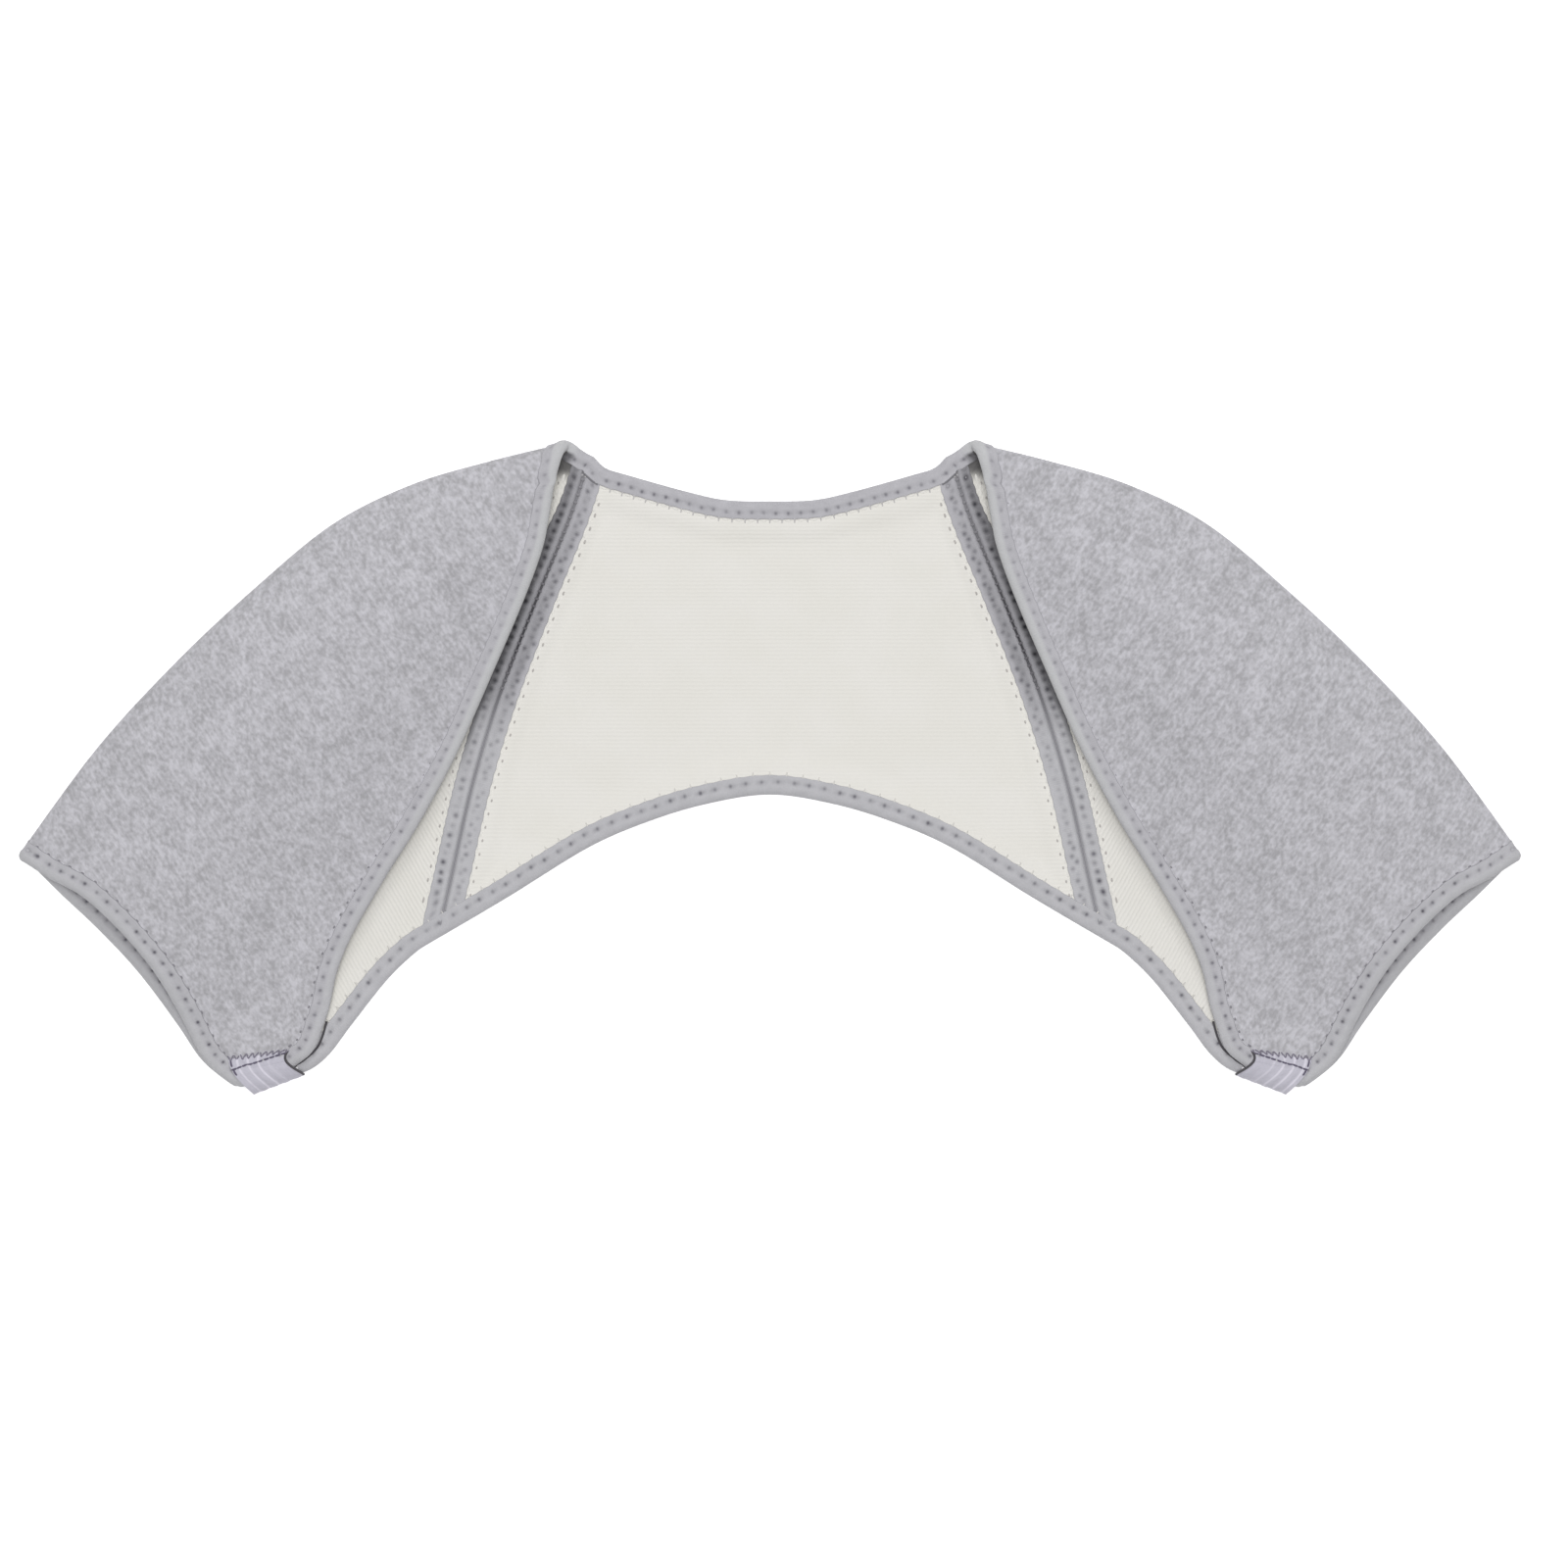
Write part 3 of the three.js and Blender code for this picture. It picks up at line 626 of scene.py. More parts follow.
def wall_faces(columns, rows):
    """Faces of a closed wall over a grid: outside, inside and the rim between them."""
    size = columns * rows
    index = np.arange(size).reshape(columns, rows)
    grid = np.stack([index[:-1, :-1], index[1:, :-1], index[1:, 1:], index[:-1, 1:]], -1).reshape(-1, 4)
    rim = np.concatenate([index[:, 0], index[-1, 1:], index[-2::-1, -1], index[0, -2:0:-1]])
    ahead = np.roll(rim, -1)
    sides = np.stack([rim + size, ahead + size, ahead, rim], -1)
    return np.concatenate([grid, grid[:, ::-1] + size, sides])


def wall_mesh(points, normals, low, high):
    """A closed wall between two distances outwards from a grid."""
    skins = np.stack([points + normals * high, points + normals * low])
    return skins.reshape(-1, 3), wall_faces(*points.shape[:2])


def ring_faces(*shape):
    """Faces around tubes whose points are numbered by tube, station and corner."""
    index = np.arange(math.prod(shape)).reshape(shape)
    after = np.roll(index, -1, -1)
    corners = (index[..., :-1, :], index[..., 1:, :], after[..., 1:, :], after[..., :-1, :])
    return np.stack(corners, -1).reshape(-1, 4)


def tube(legs, normals, radius, sides=5):
    """Tubes along many short lines of the same number of points."""
    heading = unit(np.gradient(legs, axis=1))
    across = unit(np.cross(heading, normals))
    up = np.cross(across, heading)
    angles = np.arange(sides) * 2 * math.pi / sides
    ring = up[:, :, None] * np.cos(angles)[:, None] + across[:, :, None] * np.sin(angles)[:, None]
    points = legs[:, :, None] + ring * radius
    steps = np.arange(legs.shape[1]) * 1.0
    uv = np.stack(np.broadcast_arrays(steps[:, None], angles), -1)
    uv = np.broadcast_to(uv, points.shape[:3] + (2,))
    return points.reshape(-1, 3), ring_faces(*points.shape[:3]), uv.reshape(-1, 2)


def upright_tube(legs, radius, sides=5):
    return tube(legs, np.broadcast_to(UP, legs.shape), radius, sides)


def unfolded(points, fold_column):
    """Flat coordinates of the folded cloth, its front and its back on either side of the fold."""
    run = run_along(points)
    run = run - run[fold_column]
    fold_plan = points[fold_column, :, :2]
    way = unit(points[-1, :, :2] - fold_plan)
    turned_over = np.where(run[..., None] < 0, -1, 1)
    flat = (points[..., :2] - fold_plan[None]) * turned_over
    slack = run - turned_over[..., 0] * np.linalg.norm(flat, axis=-1)
    return fold_plan[None] + flat + way[None] * slack[..., None]


def turned(plan, direction):
    """The plan in coordinates across and along a direction."""
    direction = unit(np.array(direction, float))
    cross = np.array([direction[1], -direction[0]])
    return np.stack([plan @ cross, plan @ direction], -1)


# Cloths: grids of the sleeve and the back, and the ways that the knit and the lining run
BACK_COLUMNS = 46
FRONT_COLUMNS = 64
SLEEVE_ROWS = 118
PANEL_COLUMNS = 120
PANEL_ROWS = 72
KNIT_WAY = (-0.55, -0.83)
LINING_WAY = (-0.5, -0.86)

across_back = np.linspace(-1, 0, BACK_COLUMNS, endpoint=False)
across = np.concatenate([across_back, np.linspace(0, 1, FRONT_COLUMNS)])[:, None]
along = np.linspace(0, 1, SLEEVE_ROWS)[None]
sleeve_points = sleeve(across, along)
sleeve_normals = sleeve_normal(across, along)
knit_plan = turned(unfolded(sleeve_points, BACK_COLUMNS), KNIT_WAY)
lining_plan = turned(sleeve_points[..., :2], LINING_WAY)
back_points = back(np.linspace(-1, 1, PANEL_COLUMNS)[:, None], np.linspace(0, 1, PANEL_ROWS)[None])
back_normals = np.broadcast_to(-UP, back_points.shape)
back_plan = back_points[..., 1::-1]

# Shade inside the neckline's peak, and where it starts and ends up the plan
PEAK_SHADE = (0.9, 121.0, 127.5)

pieces = {}
for hand, mirrored in HANDS:
    for suffix, span, plan, cloth, slot in (
        ("", SHELL_WALL, knit_plan, KNIT, "knit"),
        ("_lining", LINING_WALL, lining_plan, SLEEVE_CREAM, "lining"),
    ):
        name = f"sleeve_{hand}{suffix}"
        points, faces = wall_mesh(sleeve_points, sleeve_normals, *span)
        marks = dict(shade=rising(points[:, 1], *PEAK_SHADE))
        uv = np.concatenate([plan, plan])
        made = add_mesh(f"{name}_cloth", points, faces, uv, cloth, mirrored, marks)
        pieces[name] = dress(made, name)
for name, span, cloth, slot in (
    ("back_panel", SHELL_WALL, KNIT, "knit"),
    ("back_lining", LINING_WALL, BACK_CREAM, "lining"),
):
    points, faces = wall_mesh(back_points, back_normals, *span)
    made = add_mesh(f"{name}_cloth", points, faces, np.concatenate([back_plan, back_plan]), cloth)
    pieces[name] = dress(made, name)


# Edges that are bound with tape

PATH_STEP = 0.5
SAME_POINT = 1e-6


def resampled(places, run, values):
    """Rows of values at other places of their run."""
    return np.stack([np.interp(places, run, column) for column in values.T], -1)


def smoothed(values, reach=12):
    weights = np.exp(-np.linspace(-2, 2, 2 * reach + 1) ** 2)
    padded = np.pad(values, ((reach, reach), (0, 0)), mode="reflect", reflect_type="odd")
    return np.stack([np.convolve(column, weights / weights.sum(), "valid") for column in padded.T], -1)


class Path:
    """Frames along an edge of the cloth: points, directions into the cloth and outward normals."""

    def __init__(self, edge, inside, normal, slanted, soften=0):
        steps = np.linalg.norm(np.diff(edge, axis=0), axis=1)
        keep = np.append(True, steps > SAME_POINT)
        edge, inside, normal, slanted = (rows[keep] for rows in (edge, inside, normal, slanted))
        run = run_along(edge)
        heading = unit(np.gradient(edge, run, axis=0))
        slant = inside - edge
        square = slant - normal * dot(normal, slant)
        square = unit(square - heading * dot(heading, square))
        inwards = lerp(square, slant / dot(slant, square), slanted[:, None])
        self.length = run[-1]
        self.run = np.linspace(0, self.length, max(int(self.length / PATH_STEP), 2))
        self.ease = np.ones(len(self.run))
        self.edge = resampled(self.run, run, edge)
        if soften:
            self.edge = smoothed(self.edge, soften)
        self.inwards = smoothed(resampled(self.run, run, inwards))
        self.normal = unit(smoothed(resampled(self.run, run, normal)))

    def at(self, run, inwards, outwards):
        """Points at runs of the edge, by their distances into the cloth and out of its face."""
        run, inwards, outwards = np.broadcast_arrays(run, inwards, outwards)
        frames = (self.edge, self.inwards, self.normal)
        edge, way, normal = (resampled(run, self.run, rows) for rows in frames)
        return edge + way * inwards[..., None] + normal * outwards[..., None]


def edge_rows(edge, inside, normal=-UP, slanted=0.0):
    """What a path is made of; its tape runs squarely inwards, or to the inside points where slanted is 1."""
    return [edge, inside, np.broadcast_to(normal, edge.shape), np.broadcast_to(slanted, len(edge))]


def mirror(rows):
    return [values[::-1] * MIRROR if values.ndim == 2 else values[::-1] for values in rows]


def joined(*parts):
    return [np.concatenate(values) for values in zip(*parts)]


def inside_layer(front, along):
    return layer(front, np.maximum(1 - TAPE_BAND / layer_width(front, along), 0), along)


def pulled(places, edge, pulls):
    """The edge with soft bumps added to it."""
    return sum((bell(places, middle, spread)[:, None] * way for middle, spread, way in pulls), edge)


BAND_SHARE = TAPE_BAND / FOLD_LENGTH
SEAM_TUCK = 4.4
HEM_TUCK = 6.4
CUFF_TUCK = 0.05

# Where a tape leaves the cloth's edge: middle, spread and way
PEAK_PULLS = ((-0.5, 0.38, (0, 2.3, 0)), (0, 0.25, (-1.1, 0.2, 0)))
CUFF_PULLS = ((0, 0.2, (0.7, -1.6, 0)),)
HEM_TIP_SPAN = (0.92, 1)
HEM_TIP_PULL = (0, -1.9, 0)

# Places just inside the edges, where their normals are taken
PEAK_NORMAL_AT = 0.006
FRONT_NORMAL_AT = 0.985
CUFF_NORMAL_AT = 0.994

# The hem's tape is softened over its corner at the foot of the seam, whose own points are left out
CORNER_SHIFT = 1.5
CORNER_REACH = 9
CORNER_SOFTEN = 12

# Where the seam's tapes are slanted, along the sleeve and down the back, and the hem's start they meet
SLEEVE_HEAD = (0.03, 0.1)
SLEEVE_FOOT = (0.645, 0.712)
BACK_HEAD = (0.04, 0.11)
HEM_START = 0.08

peak_places = np.linspace(-1, 1, 220)
peak_edge = pulled(peak_places, sleeve(peak_places, 0.0), PEAK_PULLS)
fold_step = sleeve(0.0, BAND_SHARE / 2) - sleeve(0.0, 0.0)
peak_inside = np.where((peak_places <= 0)[:, None], sleeve(peak_places, BAND_SHARE), peak_edge + fold_step)
peak = edge_rows(peak_edge, peak_inside, sleeve_normal(peak_places, PEAK_NORMAL_AT), slanted=1.0)

front_places = np.linspace(0, 1, 500)[1:]
front_rows = edge_rows(
    sleeve(1.0, front_places),
    inside_layer(True, np.maximum(front_places, BAND_SHARE / 2)),
    sleeve_normal(FRONT_NORMAL_AT, front_places),
)

neck_sides = np.linspace(-1, 1, 300)
neck_rows = edge_rows(back(neck_sides, 0.0), back(neck_sides, TAPE_BAND / back_height(neck_sides)))
right_neck = joined(peak, front_rows)
neck_path = Path(*joined(mirror(right_neck), neck_rows, right_neck))

hem_places = np.linspace(SEAM_SHARE, 1, 200)
hem_points = sleeve(-1.0, hem_places) + smoothstep(hem_places, *HEM_TIP_SPAN)[:, None] * HEM_TIP_PULL
hem_heading = unit(np.gradient(hem_points, axis=0))
sleeve_hem = edge_rows(hem_points, hem_points + hem_heading[:, (1, 0, 2)] * (-1, 1, 0))
back_hem = edge_rows(back(neck_sides, 1.0), back(neck_sides, 1 - BACK_HEM_BAND / back_height(neck_sides)))
hem_rows = joined(mirror(sleeve_hem), back_hem, sleeve_hem)
to_corner = np.abs(np.abs(hem_rows[0][:, 0]) - abs(back_seam[-1, 0]) - CORNER_SHIFT)
hem_path = Path(*[values[to_corner > CORNER_REACH] for values in hem_rows], soften=CORNER_SOFTEN)

cuff_end = 1 - TIP_SHARE * TURN_WEIGHT + CUFF_TUCK
cuff_places = np.linspace(-cuff_end, cuff_end, 400)
cuff_edge = pulled(cuff_places, sleeve(cuff_places, 1.0), CUFF_PULLS)
cuff_normal = sleeve_normal(cuff_places, CUFF_NORMAL_AT)
cuff_path = Path(*edge_rows(cuff_edge, sleeve(cuff_places, 1 - BAND_SHARE), cuff_normal))

seam_places = np.linspace(SEAM_TUCK / FOLD_LENGTH, SEAM_TAPE_END, 300)
seam_edge = sleeve(-1.0, seam_places)
seam_way = unit(inside_layer(False, seam_places) - seam_edge)
hem_way = np.append(unit(sleeve_hem_edge.at(HEM_START) - sleeve_hem_edge.at(0)), 0)
seam_foot_share = smoothstep(seam_places, *SLEEVE_FOOT)
sleeve_seam_path = Path(*edge_rows(
    seam_edge,
    seam_edge + lerp(seam_way, hem_way, seam_foot_share[:, None]),
    slanted=np.maximum(1 - smoothstep(seam_places, *SLEEVE_HEAD), seam_foot_share),
))

seam_height = back_height(1.0)
seam_downs = np.linspace(SEAM_TUCK / seam_height, 1 - HEM_TUCK / seam_height, 300)
back_seam_path = Path(*edge_rows(
    back(1.0, seam_downs),
    back(1 - TAPE_BAND / HALF_BACK, seam_downs),
    slanted=1 - smoothstep(seam_downs, *BACK_HEAD),
))


# Tape with needle pits

chance = np.random.default_rng(5)

# Section: lip at the inner edge as distance and height, flat part, hump beside the nose, inner skin
TAPE_LIP = ((0, 1.95), (0.08, 2.2))
TAPE_FLAT_START = 0.3
TAPE_FLAT = 2.34
TAPE_HUMP = 2.2
TAPE_INNER = 1.72
TAPE_INNER_LIP = 1.62
TAPE_INNER_NOSE = ((0.2, 1.72), (-0.45, 1.2))

# Needle pits: depth, stations around each, how much and between what limits they vary
PIT_DEPTH = 0.45
PIT_STATIONS = (-0.9, -0.45, 0, 0.45, 0.9)
PIT_VARY = 1.2
PIT_LIMITS = (0.4, 1.4)

# Waves between the pits, on the face and at the inner edge, and the pale strip on the nose
PUFF = 0.03
SCALLOP = 0.14
SCALLOP_START = 0.8
NARROW_START = 3.4
STRIP_EDGE = (1.4, 3.4)


def tape_section(width, nose):
    """Corners as inwards and outwards, and their faces: 1 outside, -1 on the lining, 0 on the inner skin."""
    lip = [(width - before, height) for before, height in TAPE_LIP]
    flat = np.linspace(width - TAPE_FLAT_START, nose, 13)
    rise = TAPE_FLAT + (TAPE_TOP - TAPE_FLAT) * (1 - smoothstep(flat, nose, nose + TAPE_HUMP))
    angles = np.linspace(math.pi / 2, 0, 8)[1:]
    rounded = np.stack([nose - (nose + TAPE_REACH) * np.cos(angles), TAPE_TOP * np.sin(angles)], -1)
    half = np.concatenate([lip, np.stack([flat, rise], -1), rounded])
    outside = np.concatenate([half, half[-2::-1] * (1, -1)])
    inner = np.array([(width, TAPE_INNER_LIP), (width / 2, TAPE_INNER), *TAPE_INNER_NOSE])
    inside = np.concatenate([inner * (1, -1), inner[::-1]])
    face = np.append(np.sign(outside[:, 1]), np.zeros(len(inside)))
    return np.concatenate([outside, inside]), face


def stitch_places(path, step):
    """Runs of the needle pits and their mean step, with wider steps where the path asks for them."""
    turns = np.append(0, np.cumsum(np.diff(path.run) / path.ease[1:])) / step
    count = max(round(turns[-1]), 1)
    places = np.interp((np.arange(count) + 0.5) / count * turns[-1], turns, path.run)
    return places, path.length / count


def at_runs(value, run):
    """A look's value at the runs, whether it is steady or a function of them."""
    return (value(run) if callable(value) else np.full(len(run), float(value)))[:, None]


def needle_pits(sizes, places, step, run, d, face):
    """How deep the tape is pressed by its needle pits, by stations and corners."""
    pit = np.zeros((len(run), len(d)))
    for depth, phase in sizes["rows"]:
        shift = chance.normal(0, sizes["scatter"], (3, len(places)))
        needles = places + phase * step + shift[0]
        nearest = np.abs(run[:, None] - needles[None]).argmin(axis=1)
        gap = (run - needles[nearest])[:, None]
        off = d - depth - shift[1, nearest][:, None]
        deep = np.clip(1 + PIT_VARY * shift[2, nearest], *PIT_LIMITS)[:, None]
        pit = np.maximum(pit, deep * np.exp(-(gap**2 + off**2) / sizes["spread"]) * np.abs(face))
    return pit


def tape_mesh(
    path, sizes, pits=0.7, rim=0.15, strip=0.0, pale=0.0, shade=None, sink=None, worn=1.0, narrow=0.0,
):
    """A tape's mesh and marks, from its sizes and a look whose values are steady or functions of the run."""
    width, rows = sizes["width"], sizes["rows"]
    places, step = stitch_places(path, sizes["pit_step"])
    offsets = np.append(PIT_STATIONS, step / 2)
    stations = [(places[:, None] + offsets + phase * step).ravel() for _, phase in rows]
    run = np.concatenate([[0, path.length]] + stations)
    run = np.unique(run[(run >= 0) & (run <= path.length)].round(3))
    section, face = tape_section(width, sizes["nose"])
    d, h = section.T
    pit = needle_pits(sizes, places, step, run, d, face) * at_runs(worn, run)
    away = np.abs(run[:, None] - places[None]).min(axis=1)
    wave = np.cos(2 * math.pi * away / step)[:, None]
    puff = 1 - PUFF * wave * (np.abs(face) * (d < rows[0][0]))
    depths = d - SCALLOP * wave * smoothstep(d, rows[-1][0] + SCALLOP_START, width)
    depths = depths - at_runs(narrow, run) * smoothstep(d, NARROW_START, width)
    heights = h * puff - PIT_DEPTH * pit * face
    points = path.at(run[:, None], depths, heights)
    if sink:
        heights = heights - sink(run[:, None], points) * face
        points = path.at(run[:, None], depths, heights)
    faces = ring_faces(*points.shape[:2])[:, (0, 3, 2, 1)]
    uv = np.stack(np.broadcast_arrays(run[:, None], run_along(section)), -1)
    dark = shade(run[:, None], depths) * (h < 0) if shade else np.zeros_like(pit)
    # The lip's corners take the pits' dark colour by the rim amount: a painted shadow line along the tape's
    # inner edge.
    lip = slice(len(TAPE_LIP))
    pit[:, lip] = np.maximum(pit[:, lip], rim / pits)
    nose = at_runs(strip, run) * (1 - smoothstep(d, *STRIP_EDGE))
    marks = dict(pit=np.clip(pit * pits, 0, 1), shade=dark, pale=at_runs(pale, run) + nose)
    return points, faces, uv, marks


# Stitches over the tapes

TICK_AT_EDGE = np.array([-0.5, -0.2, 0.15, 0.45])
TICK_AT_END = np.array([-0.25, 0])
TICK_HEIGHTS = np.array([1.9, 2.3, 2.2, WALL / 2 + 0.2, WALL / 2 + 0.15, WALL / 2 - 0.35])
NEEDLE_REACH = 0.6
NEEDLE_HEIGHTS = WALL / 2 + np.array([-0.4, -0.12, -0.02, -0.12, -0.4])
SWELL_REACH = 1.6
SWELL_GAP = 0.45
SWELL_HEIGHTS = WALL / 2 + np.array([-0.55, -0.2, -0.05, 0, -0.05, -0.2, -0.55])


def within(path, places, spans):
    inside = [(places > start) & (places < end) for start, end in spans or [(0, path.length)]]
    return places[np.any(inside, axis=0)]


def between(path, sizes, spans):
    """Runs halfway between the needle pits, inside the given stretches."""
    places = stitch_places(path, sizes["stitch_step"])[0]
    return within(path, (places[1:] + places[:-1]) / 2, spans)


def bars(path, runs, shift, depths, heights, radius, faces=(1, -1)):
    """Short bars of thread on the knit's face, at 1, and the lining's face, at -1."""
    run = np.clip(runs[:, None] + shift, 0, path.length)
    legs = np.concatenate([path.at(run, depths, heights * face) for face in faces])
    above = np.concatenate([path.at(run, depths, (heights + 1) * face) for face in faces])
    return tube(legs, above - legs, radius)


def swells(path, sizes, spans):
    """The lining's small swells between the stitches, beside the tape, paler than the lining as a painted
    highlight.
    """
    runs = within(path, stitch_places(path, sizes["stitch_step"])[0], spans)
    shift = np.linspace(-SWELL_REACH, SWELL_REACH, len(SWELL_HEIGHTS))
    depth = sizes["width"] + SCALLOP + SWELL_GAP
    return bars(path, runs, shift, depth, SWELL_HEIGHTS, radius=0.5, faces=(-1,))


def ticks(path, sizes, spans):
    """The zigzag's bars over the tape's inner edge."""
    depths = np.append(sizes["width"] + SCALLOP + TICK_AT_EDGE, sizes["reach"] + TICK_AT_END)
    return bars(path, between(path, sizes, spans), np.zeros(len(depths)), depths, TICK_HEIGHTS, radius=0.27)


def needles(path, sizes, spans):
    """Needle marks in the cloth beside the tape."""
    shift = np.linspace(-NEEDLE_REACH, NEEDLE_REACH, len(NEEDLE_HEIGHTS))
    runs = between(path, sizes, spans)
    return bars(path, runs, shift, sizes["needles"], NEEDLE_HEIGHTS, radius=0.42)


# Runs along the neckline's tape and spans of the stitches
STITCH_GAP = 9
SEAM_STITCH_START = 6.0
FRONT_EASE = 0.11
fold_index = np.searchsorted(peak_places, 0)
half_run = run_along(right_neck[0])[-1]
fold_run = run_along(right_neck[0][fold_index:])[-1]
front_run = run_along(right_neck[0][len(peak_places):])[-1]
cuff_fold_run = run_along(cuff_edge[:np.searchsorted(cuff_places, 0)])[-1]
neck_run = neck_path.length
FRONT_SPANS = [(0, front_run - STITCH_GAP), (neck_run - front_run + STITCH_GAP, neck_run)]
BACK_NECK_SPANS = [(half_run, neck_run - half_run)]
SEAM_SPANS = [(SEAM_STITCH_START, sleeve_seam_path.length - STITCH_GAP)]


def to_tip(run):
    """Way to the nearer end of the neckline's tape."""
    return np.minimum(run, neck_run - run)


neck_path.ease = 1 + FRONT_EASE * (to_tip(neck_path.run) < fold_run)

# The shade along the seam, on its sleeve side and its back side
SHADE_PLACES = (0, 0.08, 0.2, 0.34, 0.44, 0.52, 0.6, 0.68)
SLEEVE_SHADES = (0.6, 0.74, 0.78, 0.92, 0.88, 0.84, 0.7, 0.04)
BACK_SHADES = (0.14, 0.14, 0.28, 0.45, 0.47, 0.28, 0.06, 0)

# Looks of the tapes: amounts with their spans by share, run or depth
FLAP_SHIFT = (3.4, 0.44, 0.58)
FLAP_RIDGE = (0.44, 0.5, 0.62)
FLAP_RAMP = 3
FLAP_LEAN = 0.75
DIP_START = (-1.2, 1.5)
DIP_FADE = (0.8, 3, 5.6)
SEAM_PALE = (0.3, 0.45, 0.62)
SEAM_FAINT = 0.4
SEAM_FAINT_SPANS = ((0.45, 0.6), (0.75, 0.92))
SEAM_END_FAINT = (0.7, 0.94, 0.97)
HEAD_NARROW = (1.3, 12, 36)
PEAK_HOLLOW_SPANS = ((-1, 0.8), (8, 11.5))
PEAK_HOLLOW_DEPTH = (1.2, 3)
FAINT_FRONT_PITS = 0.55
FRONT_PIT_SPAN = (0.35, 0.8)
PEAK_PIT_SPAN = (0, 5)
STRIP_LEVELS = (0.35, 0.75)
STRIP_SPAN = (0.3, 0.6)
STRIP_END = (4, 14)
HEAD_SINK = (0.6, 0, 9.0)
FOOT_SINK = (0.95, 4.2, 9.5)
CUFF_SINK = 0.65
CUFF_SINK_SPREAD = 5


def flap_shade(run, depth):
    """Shade under the front flap on the sleeve side of the seam, further from the seam at its end."""
    share = run / sleeve_seam_path.length
    start = rising(share, *FLAP_SHIFT)
    ridge = falling(share, *FLAP_RIDGE)
    across = smoothstep(depth, start, FLAP_RAMP + start * FLAP_LEAN)
    return np.interp(share, SHADE_PLACES, SLEEVE_SHADES) * lerp(ridge, 1, across)


def back_shade(run, depth):
    """Shade in the dip of the back side of the seam."""
    across = smoothstep(depth, *DIP_START) * (1 - rising(depth, *DIP_FADE))
    return np.interp(run / back_seam_path.length, SHADE_PLACES, BACK_SHADES) * across


def seam_pale(run):
    """The seam's tapes are paler on the lower half."""
    return rising(run / sleeve_seam_path.length, *SEAM_PALE)


def seam_pit_strength(run):
    """The needle pits of the seam's tapes, dark partly by painted shadow, are fainter on the lower half and
    faintest at its end.
    """
    share = run / sleeve_seam_path.length
    faint = 1 - SEAM_FAINT * plateau(share, *SEAM_FAINT_SPANS)
    return faint * (1 - rising(share, *SEAM_END_FAINT))


def head_narrow(run):
    """How much narrower the sleeve side of the seam is at its head."""
    return falling(run, *HEAD_NARROW)


def fold_shade(run, depth):
    """Shade in the fold of the neckline's peak, on the side of the back."""
    return plateau(to_tip(run) - fold_run, *PEAK_HOLLOW_SPANS) * smoothstep(depth, *PEAK_HOLLOW_DEPTH)


def front_pit_strength(run):
    """How plain the needle pits of the neckline's tape are, dark partly by painted shadow: fainter on the
    upper front edges.
    """
    front = lerp(FAINT_FRONT_PITS, 1, smoothstep(1 - to_tip(run) / fold_run, *FRONT_PIT_SPAN))
    past_fold = to_tip(run) - fold_run
    return np.where(past_fold < 0, front, np.maximum(smoothstep(past_fold, *PEAK_PIT_SPAN), FAINT_FRONT_PITS))


def front_strip(run):
    """The neckline's tape has a pale nose on the front edges and over the peak."""
    front = lerp(*STRIP_LEVELS, smoothstep(to_tip(run) / fold_run, *STRIP_SPAN))
    return front * (1 - smoothstep(to_tip(run) - fold_run, *STRIP_END))


def seam_sink(run, points):
    """How far a seam's tape dips below the neckline's tape at its head and the hem's tape at its foot."""
    hem = hem_path.edge[hem_path.edge[:, 0] > 0, :2]
    gap = np.array([np.linalg.norm(row[:, None, :2] - hem[None], axis=-1).min(1) for row in points])
    return np.maximum(falling(run, *HEAD_SINK), falling(gap, *FOOT_SINK))


def cuff_sink(run, points):
    """The cuff's tape lies flatter where it goes round the fold."""
    return CUFF_SINK * bell(run, cuff_fold_run, CUFF_SINK_SPREAD)


# In these looks, rim is a painted shadow line along the tape's inner edge, and shade is painted shade.
NECK_LOOK = dict(rim=0.2, strip=front_strip, shade=fold_shade, worn=front_pit_strength)
HEM_LOOK = dict(pale=0.25)
CUFF_LOOK = dict(pits=0.8, rim=0.4, strip=0.3, pale=0.1, sink=cuff_sink)
SEAM_LOOK = dict(pale=seam_pale, sink=seam_sink, worn=seam_pit_strength)
SLEEVE_SEAM_LOOK = dict(SEAM_LOOK, pits=0.75, shade=flap_shade, narrow=head_narrow)
BACK_SEAM_LOOK = dict(SEAM_LOOK, pits=0.5, shade=back_shade)
NECK_STITCHES = [
    (ticks, THREAD, BACK_NECK_SPANS),
    (swells, LIT_LINING_SWELL, BACK_NECK_SPANS),
    (needles, KNIT_NEEDLE, FRONT_SPANS),
]
HEM_STITCHES = [(ticks, HEM_THREAD, None)]
CUFF_STITCHES = [(needles, KNIT_NEEDLE, None)]
SEAM_STITCHES = [(swells, LIT_LINING_SWELL, SEAM_SPANS), (needles, CREAM_NEEDLE, SEAM_SPANS)]

SIDE_BINDINGS = (
    ("cuff", cuff_path, CUFF_TAPE, CUFF_LOOK, CUFF_STITCHES),
    ("sleeve_seam", sleeve_seam_path, SLEEVE_SEAM_TAPE, SLEEVE_SEAM_LOOK, SEAM_STITCHES),
    ("back_seam", back_seam_path, BACK_SEAM_TAPE, BACK_SEAM_LOOK, SEAM_STITCHES),
)
BINDINGS = [
    ("neckline_binding", False, neck_path, NECK_TAPE, NECK_LOOK, NECK_STITCHES),
    ("hem_binding", False, hem_path, HEM_TAPE, HEM_LOOK, HEM_STITCHES),
]
for hand, mirrored in HANDS:
    BINDINGS += [(f"{edge}_binding_{hand}", mirrored, *rest) for edge, *rest in SIDE_BINDINGS]

